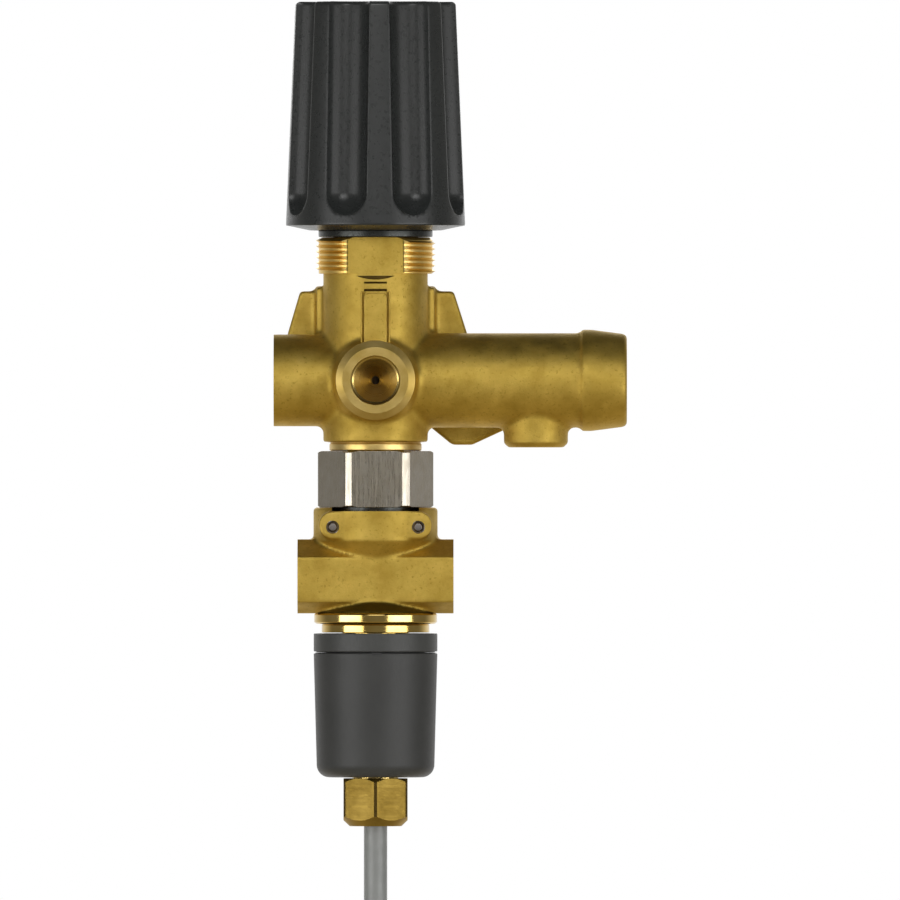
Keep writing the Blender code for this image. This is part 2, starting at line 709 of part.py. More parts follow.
def build_housing(shop):
    """The forged valve housing with all its bores."""
    housing = housing_outside(shop)
    reach = 2 * THREAD_RADIUS
    flat_low = THREAD_FOOT - 2 * GAP
    flats = [
        shop.shape("flat_form_" + side, block((-reach, low, flat_low), (reach, high, NECK_TOP + reach)))
        for side, low, high in (
            ("front", -reach, -WRENCH_FLAT),
            ("back", WRENCH_FLAT, reach),
        )
    ]
    skirt_floor = FLANGE_LOW - BONNET_SKIRT - GAP
    stack = turned(
        [
            (0, HOUSING_LOW - reach / 4),
            (SEAT_BORE_RADIUS, HOUSING_LOW - reach / 4),
            (SEAT_BORE_RADIUS, SEAT_TOP + GAP),
            (GUIDE_RADIUS, SEAT_TOP + GAP),
            (GUIDE_RADIUS, SPRING_FLOOR),
            (SPRING_CHAMBER_RADIUS, SPRING_FLOOR),
            (SPRING_CHAMBER_RADIUS, skirt_floor),
            (SKIRT_RADIUS + GAP, skirt_floor),
            (SKIRT_RADIUS + GAP, NECK_TOP + reach / 4),
            (0, NECK_TOP + reach / 4),
        ],
        MEDIUM,
    )
    inlet = port_cutter(INLET_REACH, PORT_DEPTH, INLET_WAY_RADIUS, 0, LEFT)
    port_floor = OUTLET_REACH - PORT_DEPTH
    outlet = turned(
        [
            (0, 0),
            (CHECK_WAY_RADIUS, 0),
            (CHECK_WAY_RADIUS, CHECK_SEAT_X),
            (CHECK_WAY_RADIUS + CHECK_CHAMFER, CHECK_SEAT_X + CHECK_CHAMFER),
            (CHECK_CHAMBER_RADIUS, CHECK_SEAT_X + CHECK_CHAMFER),
            (CHECK_CHAMBER_RADIUS, port_floor),
            (PORT_RADIUS, port_floor),
            (PORT_RADIUS, OUTLET_REACH - PORT_CHAMFER),
            (PORT_RADIUS + 2 * PORT_CHAMFER, OUTLET_REACH + PORT_CHAMFER),
            (0, OUTLET_REACH + PORT_CHAMFER),
        ],
        MEDIUM,
        RIGHT,
    )
    gauge_floor = GAUGE_REACH - GAUGE_BORE_DEPTH
    cone = (GAUGE_BORE_RADIUS - ORIFICE_RADIUS) / math.tan(DRILL_HALF_ANGLE)
    gauge = turned(
        [
            (0, 0),
            (ORIFICE_RADIUS, 0),
            (ORIFICE_RADIUS, gauge_floor - cone),
            (GAUGE_BORE_RADIUS, gauge_floor),
            (GAUGE_BORE_RADIUS, GAUGE_REACH - GAUGE_CHAMFER),
            (GAUGE_BORE_RADIUS + 2 * GAUGE_CHAMFER, GAUGE_REACH + GAUGE_CHAMFER),
            (0, GAUGE_REACH + GAUGE_CHAMFER),
        ],
        MEDIUM,
        FRONT,
    )
    fixings = [
        shop.shape(
            f"fixing_hole_form_{number}",
            rod(
                FIXING_RADIUS,
                AXIS_TO_REAR - FIXING_DEPTH,
                AXIS_TO_REAR + FIXING_DEPTH,
                SMALL,
                BACK,
                (x, 0, z),
            ),
        )
        for number, (x, z) in enumerate(
            (
                (-WING_FIXING_X, WING_FIXING_Z),
                (WING_FIXING_X, WING_FIXING_Z),
                (LUG_FIXING_X, LUG_FIXING_Z),
            ),
            start=1,
        )
    ]
    cut(
        housing,
        *flats,
        shop.shape("stack_bore_form", stack),
        shop.shape("inlet_bore_form", inlet),
        shop.shape("outlet_bore_form", outlet),
        shop.shape("gauge_bore_form", gauge),
        *fixings,
    )


def build_seat_and_piston(shop):
    """The bypass seat, the piston that closes it, and the lower spring plate."""
    groove = SEAT_RADIUS - 2 * RING_SECTION
    middle = (SEAT_LOW + SEAT_TOP) / 2
    half = RING_SECTION + GAP
    seat = turned(
        [
            (SEAT_HOLE_RADIUS, SEAT_LOW),
            (SEAT_RADIUS, SEAT_LOW),
            (SEAT_RADIUS, middle - half),
            (groove, middle - half),
            (groove, middle + half),
            (SEAT_RADIUS, middle + half),
            (SEAT_RADIUS, SEAT_TOP),
            (SEAT_HOLE_RADIUS + SEAT_CHAMFER, SEAT_TOP),
            (SEAT_HOLE_RADIUS, SEAT_TOP - SEAT_CHAMFER),
        ],
        MEDIUM,
    )
    shop.shape("seat_insert", seat, "steel")
    shop.shape("seat_o_ring", o_ring(groove, middle), "seal_rubber")

    cone_shift = SEAT_HOLE_RADIUS + SEAT_CHAMFER - SEAT_TOP - GAP * math.sqrt(2)
    cone_low = SEAT_TOP - SEAT_CHAMFER
    head_low = PISTON_TOP - PISTON_LENGTH
    groove_height = SEAL_HEIGHT + BACKUP_HEIGHT + 3 * GAP
    groove_low = (head_low + PISTON_TOP - groove_height) / 2
    groove_floor = PISTON_RADIUS - SEAL_DEPTH
    piston = turned(
        [
            (0, cone_low),
            (cone_low + cone_shift, cone_low),
            (CONE_RADIUS, CONE_RADIUS - cone_shift),
            (CONE_RADIUS, CONE_RADIUS - cone_shift + STEM_RADIUS / 2),
            (STEM_RADIUS, 2 * CONE_RADIUS - cone_shift),
            (STEM_RADIUS, head_low),
            (PISTON_RADIUS, head_low),
            (PISTON_RADIUS, groove_low),
            (groove_floor, groove_low),
            (groove_floor, groove_low + groove_height),
            (PISTON_RADIUS, groove_low + groove_height),
            (PISTON_RADIUS, PISTON_TOP),
            (NOSE_RADIUS, PISTON_TOP),
            (NOSE_RADIUS, PISTON_TOP + NOSE_HEIGHT),
            (0, PISTON_TOP + NOSE_HEIGHT),
        ],
        MEDIUM,
    )
    shop.shape("unloader_piston", piston, "steel")
    seal_low = groove_low + GAP
    backup_low = seal_low + SEAL_HEIGHT + GAP
    seal_outer = GUIDE_RADIUS - GAP / 2
    seal = tube(seal_outer, groove_floor + GAP, seal_low, seal_low + SEAL_HEIGHT, SMALL)
    backup = tube(seal_outer, groove_floor + GAP, backup_low, backup_low + BACKUP_HEIGHT, SMALL)
    shop.shape("piston_seal", seal, "seal_rubber")
    shop.shape("piston_backup_ring", backup, "seal_plastic")

    spigot_radius = MAIN_SPRING_RADIUS - MAIN_WIRE / 2 - GAP
    pocket = NOSE_RADIUS + GAP
    pocket_top = PISTON_TOP + NOSE_HEIGHT + GAP
    plate = turned(
        [
            (0, max(pocket_top, LOWER_PLATE_LOW + GAP)),
            (pocket, pocket_top),
            (pocket, LOWER_PLATE_LOW),
            (PLATE_RIM, LOWER_PLATE_LOW),
            (PLATE_RIM, LOWER_PLATE_TOP),
            (spigot_radius, LOWER_PLATE_TOP),
            (spigot_radius - GAP, LOWER_PLATE_TOP + PLATE_SPIGOT),
            (0, LOWER_PLATE_TOP + PLATE_SPIGOT),
        ],
        MEDIUM,
    )
    shop.shape("lower_spring_plate", plate, "steel")


def build_adjuster(shop):
    """The main spring, its upper plate, the bonnet over it and the spindle with the knob."""
    spring = coil_curve(
        "main_spring", SPRING_LOW, SPRING_HIGH, MAIN_SPRING_RADIUS, MAIN_WIRE, MAIN_PITCH
    )
    shop.place("main_spring", spring, "spring_steel")
    spigot_radius = MAIN_SPRING_RADIUS - MAIN_WIRE / 2 - GAP
    plate = turned(
        [
            (0, UPPER_PLATE_LOW - PLATE_SPIGOT),
            (spigot_radius - GAP, UPPER_PLATE_LOW - PLATE_SPIGOT),
            (spigot_radius, UPPER_PLATE_LOW),
            (PLATE_RIM, UPPER_PLATE_LOW),
            (PLATE_RIM, UPPER_PLATE_TOP),
            (0, UPPER_PLATE_TOP),
        ],
        MEDIUM,
    )
    shop.shape("upper_spring_plate", plate, "steel")
    skirt_low = FLANGE_LOW - BONNET_SKIRT
    bonnet = turned(
        [
            (SPINDLE_RADIUS + RUN_GAP, BONNET_CEILING),
            (BONNET_BORE_RADIUS, BONNET_CEILING),
            (BONNET_BORE_RADIUS, skirt_low),
            (SKIRT_RADIUS, skirt_low),
            (SKIRT_RADIUS, FLANGE_LOW),
            (BONNET_FLANGE_RADIUS, FLANGE_LOW),
            (BONNET_FLANGE_RADIUS, FLANGE_TOP),
            (BONNET_RADIUS, FLANGE_TOP),
            (BONNET_RADIUS, BONNET_HIGH - BARREL_ROUND),
            (BONNET_RADIUS - BARREL_ROUND, BONNET_HIGH),
            (SPINDLE_RADIUS + RUN_GAP, BONNET_HIGH),
        ],
        FINE,
    )
    shop.shape("spring_bonnet", bonnet, "black_steel")
    build_spindle(shop)
    build_knob(shop)


def build_spindle(shop):
    """The threaded spindle with a hexagon end for the knob, its screw and the cover disc."""
    hex_low = KNOB_CEILING - GAP
    bore_floor = RECESS_FLOOR + GAP - SCREW_SHANK - 2 * GAP
    shank = rod(SPINDLE_RADIUS, UPPER_PLATE_TOP + GAP, hex_low, SMALL)
    spindle = shop.shape("adjusting_spindle", shank, "steel")
    drive = extruded(hexagon(SPINDLE_HEX), hex_low - SPINDLE_RADIUS, SPINDLE_HIGH)
    tapped = rod(SCREW_SHANK_RADIUS + GAP, bore_floor, SPINDLE_HIGH + SPINDLE_RADIUS, SMALL)
    join(spindle, shop.shape("spindle_hex_form", drive))
    cut(spindle, shop.shape("spindle_bore_form", tapped))

    head_low = RECESS_FLOOR + GAP
    shank_low = head_low - SCREW_SHANK
    screw = shop.shape(
        "knob_screw",
        turned(
            [
                (0, shank_low),
                (SCREW_SHANK_RADIUS, shank_low),
                (SCREW_SHANK_RADIUS, head_low),
                (SCREW_HEAD_RADIUS, head_low),
                (SCREW_HEAD_RADIUS, head_low + SCREW_HEAD),
                (0, head_low + SCREW_HEAD),
            ],
            SMALL,
        ),
        "steel",
    )
    socket = extruded(
        hexagon(SCREW_SOCKET), head_low + SCREW_HEAD / 3, head_low + 2 * SCREW_HEAD
    )
    cut(screw, shop.shape("screw_socket_form", socket))
    cover_low = max(KNOB_HIGH - KNOB_COVER - GAP, head_low + SCREW_HEAD + GAP)
    cover = turned(
        [
            (0, cover_low),
            (KNOB_RECESS_RADIUS - GAP, cover_low),
            (KNOB_RECESS_RADIUS - GAP, cover_low + KNOB_COVER - GAP),
            (KNOB_RECESS_RADIUS - 2 * GAP, cover_low + KNOB_COVER),
            (0, cover_low + KNOB_COVER),
        ],
        MEDIUM,
    )
    shop.shape("knob_cover", cover, "knob_plastic")


def build_knob(shop):
    """The fluted adjusting knob, hollow over the bonnet."""
    mouth = THREAD_RADIUS + KNOB_MOUTH_CLEAR
    shoulder = KNOB_LOW + SCREW_IN + 2 * KNOB_MOUTH_CLEAR + BONNET_FLANGE
    hub = BONNET_RADIUS + KNOB_HUB_CLEAR
    screw_hole = SCREW_SHANK_RADIUS + 2 * GAP
    side_low = KNOB_LOW + KNOB_FOOT_CONE
    edge = arc(
        (KNOB_TOP_RADIUS - KNOB_EDGE_ROUND, KNOB_HIGH - KNOB_EDGE_ROUND), KNOB_EDGE_ROUND, 0, 90, 3
    )
    body = turned(
        [
            (mouth, KNOB_LOW),
            (max(KNOB_FOOT_FLAT, mouth + GAP), KNOB_LOW),
            (KNOB_FOOT_RADIUS - GAP, side_low),
            (KNOB_FOOT_RADIUS, side_low + GAP),
            *edge,
            (KNOB_RECESS_RADIUS, KNOB_HIGH),
            (KNOB_RECESS_RADIUS, RECESS_FLOOR),
            (screw_hole, RECESS_FLOOR),
            (screw_hole, KNOB_CEILING),
            (hub, KNOB_CEILING),
            (hub, shoulder + mouth - hub),
            (mouth, shoulder),
        ],
        KNOB_SIDES,
    )
    knob = shop.shape("adjusting_knob", body, "knob_plastic")
    drive = extruded(hexagon(SPINDLE_HEX + 2 * GAP), KNOB_CEILING - GAP, SPINDLE_HIGH + GAP)
    side = Vector((KNOB_FOOT_RADIUS - KNOB_TOP_RADIUS, 0, side_low - KNOB_HIGH))
    lean = math.atan2(side.x, -side.z)
    length = KNOB_HEIGHT
    round_end = arc((0, 0), FLUTE_RADIUS, -90, 0, 4)
    groove_profile = [(abs(r) if r > 1e-9 else 0, h) for r, h in round_end]
    groove_profile += [(FLUTE_RADIUS, length), (0, length)]
    centre_height = KNOB_LOW + FLUTE_END + FLUTE_RADIUS
    centre_radius = KNOB_FOOT_RADIUS + FLUTE_AXIS_OUT - math.tan(lean) * (FLUTE_END + FLUTE_RADIUS)
    cutters = [shop.shape("knob_drive_form", drive)]
    for number in range(FLUTES):
        groove = turned(groove_profile, 12)
        groove.transform(Matrix.Rotation(-lean, 4, "Y"))
        groove.transform(Matrix.Translation((centre_radius, 0, centre_height)))
        angle = 2 * math.pi * (number + 0.5) / FLUTES + FLUTE_PHASE
        groove.transform(Matrix.Rotation(angle - math.pi / 2, 4, "Z"))
        cutters.append(shop.shape(f"flute_form_{number + 1}", groove))
    cut(knob, *cutters)


def build_check_valve(shop):
    """The spring-loaded cone that keeps pressure in the outlet, and the guide that carries it."""
    port_floor = OUTLET_REACH - PORT_DEPTH
    shift = GAP * math.sqrt(2)
    nose = CHECK_WAY_RADIUS - CHECK_CHAMFER
    face_end = CHECK_SEAT_X + shift + CHECK_HEAD_RADIUS - CHECK_WAY_RADIUS
    head_end = face_end + CHECK_HEAD
    guide_low = port_floor + GAP - GUIDE_HUB
    stem_end = guide_low + CHECK_STEM_SEAT
    cone = turned(
        [
            (0, CHECK_SEAT_X + shift - CHECK_CHAMFER),
            (nose, CHECK_SEAT_X + shift - CHECK_CHAMFER),
            (CHECK_HEAD_RADIUS, face_end),
            (CHECK_HEAD_RADIUS, head_end),
            (CHECK_STEM_RADIUS, head_end),
            (CHECK_STEM_RADIUS, stem_end),
            (0, stem_end),
        ],
        SMALL,
        RIGHT,
    )
    shop.shape("check_cone", cone, "steel")
    hub = CHECK_CHAMBER_RADIUS - GAP
    flange = PORT_RADIUS - GAP
    hole = CHECK_STEM_RADIUS + RUN_GAP
    guide = shop.shape(
        "check_guide",
        turned(
            [
                (hole, guide_low),
                (hub, guide_low),
                (hub, port_floor + GAP),
                (flange, port_floor + GAP),
                (flange, port_floor + GAP + GUIDE_FLANGE),
                (hole, port_floor + GAP + GUIDE_FLANGE),
            ],
            MEDIUM,
            RIGHT,
        ),
        "turned_brass",
    )
    ring = (hole + hub) / 2
    holes = []
    for number in range(GUIDE_HOLES):
        angle = 2 * math.pi * (number + 0.5) / GUIDE_HOLES
        place = (0, ring * math.cos(angle), ring * math.sin(angle))
        drill = rod(GUIDE_HOLE_RADIUS, guide_low - GUIDE_HUB, port_floor + PORT_DEPTH, 12, RIGHT, place)
        holes.append(shop.shape(f"guide_hole_form_{number + 1}", drill))
    cut(guide, *holes)
    spring = coil_curve(
        "check_spring", head_end + GAP, guide_low - GAP, CHECK_SPRING_RADIUS, CHECK_WIRE, CHECK_PITCH, 8
    )
    spring.transform(facing(RIGHT))
    shop.place("check_spring", spring, "spring_steel")


def build_nipple(shop):
    """The steel swivel nipple: spigot in the housing, hexagon, and grooved tail in the block."""
    prism = extruded(hexagon(NIPPLE_HEX, NIPPLE_TURN), HEX_LOW, NIPPLE_TOP, corner=NIPPLE_CORNER)
    nipple = shop.shape("swivel_nipple", prism, "steel")
    overlap = NIPPLE_HEX_HEIGHT / 8
    spigot_top = NIPPLE_TOP + NIPPLE_SPIGOT
    spigot = turned(
        [
            (0, NIPPLE_TOP - overlap),
            (NIPPLE_SPIGOT_RADIUS, NIPPLE_TOP - overlap),
            (NIPPLE_SPIGOT_RADIUS, spigot_top - GAP),
            (NIPPLE_SPIGOT_RADIUS - GAP, spigot_top),
            (0, spigot_top),
        ],
        MEDIUM,
    )
    groove = PIN_SPAN / 2 - PIN_RADIUS - GAP
    half = PIN_RADIUS + GAP
    seal_floor = TAIL_RADIUS - 2 * RING_SECTION
    seal_height = TAIL_LOW + TAIL_SEAL_UP
    seal_half = RING_SECTION + GAP
    tail = turned(
        [
            (0, HEX_LOW + overlap),
            (TAIL_RADIUS, HEX_LOW + overlap),
            (TAIL_RADIUS, PIN_HEIGHT + half),
            (groove, PIN_HEIGHT + half),
            (groove, PIN_HEIGHT - half),
            (TAIL_RADIUS, PIN_HEIGHT - half),
            (TAIL_RADIUS, seal_height + seal_half),
            (seal_floor, seal_height + seal_half),
            (seal_floor, seal_height - seal_half),
            (TAIL_RADIUS, seal_height - seal_half),
            (TAIL_RADIUS, TAIL_LOW),
            (0, TAIL_LOW),
        ],
        FINE,
    )
    bore = rod(NIPPLE_BORE_RADIUS, TAIL_LOW - overlap, spigot_top + overlap, MEDIUM)
    join(nipple, shop.shape("nipple_spigot_form", spigot), shop.shape("nipple_tail_form", tail))
    cut(nipple, shop.shape("nipple_bore_form", bore))
    shop.shape("nipple_o_ring", o_ring(seal_floor, seal_height), "seal_rubber")


def build_block(shop):
    """The switch block: collar with the pin bosses, bar with two return ports, and its pins."""
    cone_low = BLOCK_TOP - BLOCK_COLLAR - BLOCK_CONE
    collar = turned(
        [
            (0, BLOCK_TOP),
            (BLOCK_RADIUS - BARREL_ROUND, BLOCK_TOP),
            (BLOCK_RADIUS, BLOCK_TOP - BARREL_ROUND),
            (BLOCK_RADIUS, BLOCK_TOP - BLOCK_COLLAR),
            (BAR_HALF_DEPTH, cone_low),
            (BAR_HALF_DEPTH - BARREL_ROUND, cone_low - BLOCK_CONE),
            (0, cone_low - BLOCK_CONE),
        ],
        FINE,
    )
    block_node = shop.shape("switch_block", collar, "forged_brass")
    bar_outline = [
        (-BAR_TOP_HALF, BAR_TOP),
        (-BAR_HALF_DEPTH, BAR_TOP - BAR_UPPER_CHAMFER),
        (-BAR_HALF_DEPTH, BAR_LOW + BAR_LOWER_CHAMFER),
        (-BAR_LOW_HALF, BAR_LOW),
        (BAR_LOW_HALF, BAR_LOW),
        (BAR_HALF_DEPTH, BAR_LOW + BAR_LOWER_CHAMFER),
        (BAR_HALF_DEPTH, BAR_TOP - BAR_UPPER_CHAMFER),
        (BAR_TOP_HALF, BAR_TOP),
    ]
    along_x = Matrix(((0, 0, 1, 0), (1, 0, 0, 0), (0, 1, 0, 0), (0, 0, 0, 1)))
    bar = extruded(bar_outline, -BAR_HALF_LENGTH, BAR_HALF_LENGTH, along_x)
    foot_high = BAR_LOW + BAR_LOWER_CHAMFER
    foot_radius = ADAPTER_RING_RADIUS - GAP
    foot = turned(
        [
            (0, BAR_LOW + GAP / 3),
            (foot_radius, BAR_LOW + GAP / 3),
            (BAR_HALF_DEPTH, foot_high),
            (BAR_HALF_DEPTH - BARREL_ROUND, foot_high + BAR_LOWER_CHAMFER),
            (0, foot_high + BAR_LOWER_CHAMFER),
        ],
        FINE,
    )
    boss_low = BLOCK_TOP - BLOCK_SLOT - PIN_BOSS_HEIGHT
    boss_middle = boss_low + PIN_BOSS_HEIGHT / 2
    boss_round = PIN_BOSS_HEIGHT / 2
    straight = PIN_BOSS_HALF - boss_round
    boss_outline = arc((straight, boss_middle), boss_round, -90, 90, 4)
    boss_outline += arc((-straight, boss_middle), boss_round, 90, 270, 4)
    stand = Matrix.Rotation(math.radians(90), 4, "X")
    boss = extruded(boss_outline, -PIN_BOSS_FACE, PIN_BOSS_FACE, stand)
    join(
        block_node,
        shop.shape("bar_form", bar),
        shop.shape("foot_form", foot),
        shop.shape("pin_boss_form", boss),
    )
    cut(block_node, *block_cutters(shop))
    for side, sign in (("left", -1), ("right", 1)):
        reach = PIN_BOSS_FACE - PIN_SUNK
        pin = rod(PIN_RADIUS, -reach, reach, 16, BACK, (sign * PIN_SPAN / 2, 0, PIN_HEIGHT))
        shop.shape(f"retaining_pin_{side}", pin, "steel")


def block_cutters(shop):
    """The slot, the tail bore, the two return ports and the two pin holes."""
    reach = 2 * BLOCK_RADIUS
    slot = block(
        (-BLOCK_SLOT_HALF, -reach, BLOCK_TOP - BLOCK_SLOT), (BLOCK_SLOT_HALF, reach, BLOCK_TOP + reach)
    )
    bore = turned(
        [
            (0, BAR_LOW - reach / 8),
            (ADAPTER_SPIGOT_RADIUS + GAP, BAR_LOW - reach / 8),
            (ADAPTER_SPIGOT_RADIUS + GAP, SPIGOT_TOP + GAP),
            (DROP_WAY_RADIUS, SPIGOT_TOP + GAP),
            (DROP_WAY_RADIUS, TAIL_FLOOR),
            (TAIL_BORE_RADIUS, TAIL_FLOOR),
            (TAIL_BORE_RADIUS, BLOCK_TOP + reach / 8),
            (0, BLOCK_TOP + reach / 8),
        ],
        MEDIUM,
    )
    cutters = [shop.shape("slot_form", slot), shop.shape("block_bore_form", bore)]
    for side, sign, direction in (("left", -1, LEFT), ("right", 1, RIGHT)):
        port = port_cutter(BAR_HALF_LENGTH, RETURN_PORT_DEPTH, RETURN_WAY_RADIUS, 0, direction)
        port.transform(Matrix.Translation((0, 0, RETURN_AXIS)))
        cutters.append(shop.shape(f"return_port_form_{side}", port))
        hole = rod(PIN_HOLE_RADIUS, -reach, reach, 16, BACK, (sign * PIN_SPAN / 2, 0, PIN_HEIGHT))
        cutters.append(shop.shape(f"pin_hole_form_{side}", hole))
    return cutters


def build_adapter(shop):
    """The turned adapter under the block, with the pressure pin and return spring inside."""
    bore = CONTROL_RADIUS + RUN_GAP
    stem_hole = CONTROL_STEM_RADIUS + RUN_GAP
    line = GAP
    seal_floor = ADAPTER_SPIGOT_RADIUS - 2 * RING_SECTION
    seal_height = ADAPTER_TOP + ADAPTER_SEAL_UP
    seal_half = RING_SECTION + GAP
    adapter = turned(
        [
            (stem_hole, ADAPTER_LOW),
            (ADAPTER_TAIL_RADIUS, ADAPTER_LOW),
            (ADAPTER_TAIL_RADIUS, ADAPTER_NECK_LOW),
            (ADAPTER_NECK_RADIUS, ADAPTER_NECK_LOW),
            (ADAPTER_NECK_RADIUS, RING_LOW - line),
            (ADAPTER_NECK_RADIUS - line, RING_LOW),
            (ADAPTER_RING_RADIUS - line, RING_LOW),
            (ADAPTER_RING_RADIUS, RING_LOW + line),
            (ADAPTER_RING_RADIUS, ADAPTER_TOP - line),
            (ADAPTER_RING_RADIUS - line, ADAPTER_TOP),
            (ADAPTER_SPIGOT_RADIUS, ADAPTER_TOP),
            (ADAPTER_SPIGOT_RADIUS, seal_height - seal_half),
            (seal_floor, seal_height - seal_half),
            (seal_floor, seal_height + seal_half),
            (ADAPTER_SPIGOT_RADIUS, seal_height + seal_half),
            (ADAPTER_SPIGOT_RADIUS, SPIGOT_TOP),
            (bore, SPIGOT_TOP),
            (bore, CONTROL_BORE_FLOOR),
            (stem_hole, CONTROL_BORE_FLOOR),
        ],
        FINE,
    )
    shop.shape("switch_adapter", adapter, "turned_brass")
    shop.shape("adapter_o_ring", o_ring(seal_floor, seal_height), "seal_rubber")
    groove = CONTROL_RADIUS - 2 * RING_SECTION
    middle = (CONTROL_TOP + CONTROL_HEAD_LOW) / 2
    half = RING_SECTION + GAP
    pin = turned(
        [
            (0, CONTROL_LOW),
            (CONTROL_STEM_RADIUS, CONTROL_LOW),
            (CONTROL_STEM_RADIUS, CONTROL_HEAD_LOW),
            (CONTROL_RADIUS, CONTROL_HEAD_LOW),
            (CONTROL_RADIUS, middle - half),
            (groove, middle - half),
            (groove, middle + half),
            (CONTROL_RADIUS, middle + half),
            (CONTROL_RADIUS, CONTROL_TOP),
            (0, CONTROL_TOP),
        ],
        SMALL,
    )
    shop.shape("control_piston", pin, "steel")
    shop.shape("control_o_ring", o_ring(groove, middle), "seal_rubber")
    spring = coil_curve(
        "return_spring",
        CONTROL_BORE_FLOOR + GAP,
        CONTROL_HEAD_LOW - GAP,
        RETURN_SPRING_RADIUS,
        RETURN_WIRE,
        RETURN_PITCH,
        8,
    )
    shop.place("return_spring", spring, "spring_steel")


def build_switch_case(shop):
    """The moulded base and cap, and the nut that holds the base to the adapter."""
    hole = ADAPTER_TAIL_RADIUS + GAP
    spigot_outer = CAP_BORE_RADIUS - GAP
    spigot_inner = max(spigot_outer - BASE_SPIGOT_WALL, hole)
    base = turned(
        [
            (hole, BASE_LOW),
            (spigot_inner, BASE_LOW),
            (spigot_inner, BASE_END),
            (spigot_outer, BASE_END),
            (spigot_outer, BASE_LOW),
            (BASE_RADIUS - GAP, BASE_LOW),
            (BASE_RADIUS, BASE_LOW + GAP),
            (BASE_RADIUS, BASE_TOP - GAP),
            (BASE_RADIUS - GAP, BASE_TOP),
            (hole, BASE_TOP),
        ],
        FINE,
    )
    shop.shape("switch_base", base, "case_plastic")
    nut_top = BASE_LOW - GAP
    nut = shop.shape(
        "base_nut",
        extruded(hexagon(min(BASE_NUT_HEX, 1.7 * spigot_inner)), nut_top - BASE_NUT, nut_top),
        "steel",
    )
    nut_bore = rod(hole, nut_top - 2 * BASE_NUT, nut_top + BASE_NUT, SMALL)
    cut(nut, shop.shape("nut_bore_form", nut_bore))
    foot_round = arc(
        (CAP_FOOT_RADIUS - CAP_CHAMFER, CAP_LOW + CAP_CHAMFER), CAP_CHAMFER, 0, -90, 4
    )
    cap = turned(
        [
            (CAP_BORE_RADIUS, CAP_TOP),
            (BASE_RADIUS - GAP, CAP_TOP),
            (BASE_RADIUS, CAP_TOP - GAP),
            *foot_round,
            (GLAND_TUBE_RADIUS + GAP, CAP_LOW),
            (GLAND_TUBE_RADIUS + GAP, CAP_LOW + CAP_FLOOR),
            (CAP_BORE_RADIUS, CAP_LOW + CAP_FLOOR),
        ],
        FINE,
    )
    shop.shape("switch_cap", cap, "case_plastic")


def build_microswitch(shop):
    """The snap switch on its carrier, with its button, terminals and wires."""
    cheek_in = MICRO_WIDTH / 2 + GAP
    cheek_out = cheek_in + CARRIER_CHEEK
    half_length = MICRO_LENGTH / 2
    carrier = shop.shape(
        "switch_carrier",
        tube(
            CAP_BORE_RADIUS - 3 * GAP,
            CONTROL_STEM_RADIUS + 3 * GAP,
            CARRIER_TOP - CARRIER_PLATE,
            CARRIER_TOP,
            MEDIUM,
        ),
        "case_plastic",
    )
    cheeks = [
        shop.shape(
            f"cheek_form_{side}",
            block(
                (-half_length, low, CARRIER_TOP - CARRIER_DROP),
                (half_length, high, CARRIER_TOP - CARRIER_PLATE / 2),
            ),
        )
        for side, low, high in (("front", -cheek_out, -cheek_in), ("back", cheek_in, cheek_out))
    ]
    pin_height = (MICRO_TOP + 2 * MICRO_LOW) / 3
    pin_holes = []
    for side, sign in (("left", -1), ("right", 1)):
        place = (sign * CARRIER_PIN_X, 0, pin_height)
        reach = 2 * cheek_out
        hole = rod(CARRIER_PIN_RADIUS + GAP, -reach, reach, 12, BACK, place)
        pin_holes.append(shop.shape(f"carrier_hole_form_{side}", hole))
        pin = rod(CARRIER_PIN_RADIUS, -cheek_out, cheek_out, 12, BACK, place)
        shop.shape(f"carrier_pin_{side}", pin, "steel")
    join(carrier, *cheeks)
    cut(carrier, *pin_holes)
    body = shop.shape(
        "microswitch_body",
        block((-half_length, -MICRO_WIDTH / 2, MICRO_LOW), (half_length, MICRO_WIDTH / 2, MICRO_TOP)),
        "case_plastic",
    )
    pocket_floor = MICRO_TOP - BUTTON_SUNK - SWITCH_TRAVEL - GAP
    pocket = rod(BUTTON_RADIUS + GAP, pocket_floor, MICRO_TOP + BUTTON_SUNK, 12)
    cut(body, shop.shape("button_pocket_form", pocket), *pin_holes)
    button = rod(BUTTON_RADIUS, MICRO_TOP - BUTTON_SUNK, BUTTON_TOP, 12)
    shop.shape("microswitch_button", button, "seal_plastic")
    terminal_top = MICRO_LOW - GAP
    terminal_low = terminal_top - TERMINAL_LENGTH
    for number in range(TERMINALS):
        offset = number - (TERMINALS - 1) / 2
        x = offset * TERMINAL_PITCH
        corner = (TERMINAL_WIDTH / 2, TERMINAL_THICKNESS / 2)
        tab = block(
            (x - corner[0], -corner[1], terminal_low), (x + corner[0], corner[1], terminal_top)
        )
        shop.shape(f"terminal_{number + 1}", tab, "turned_brass")
        start = Vector((x, 0, terminal_low - GAP))
        end = Vector((offset * CORE_PITCH, 0, LEAD_TOP + GAP))
        drop = Vector((0, 0, (start.z - end.z) / 3))
        route = bezier(start, start - drop, end + drop, end, 6)
        wire = cord_curve(f"switch_wire_{number + 1}", route, CORE_RADIUS, 1)
        shop.place(f"switch_wire_{number + 1}", wire, "core_brown")


def bezier(start, first, second, end, steps):
    """Points of a cubic curve."""
    points = []
    for step in range(steps + 1):
        t = step / steps
        near = start.lerp(first, t).lerp(first.lerp(second, t), t)
        far = first.lerp(second, t).lerp(second.lerp(end, t), t)
        points.append(near.lerp(far, t))
    return points


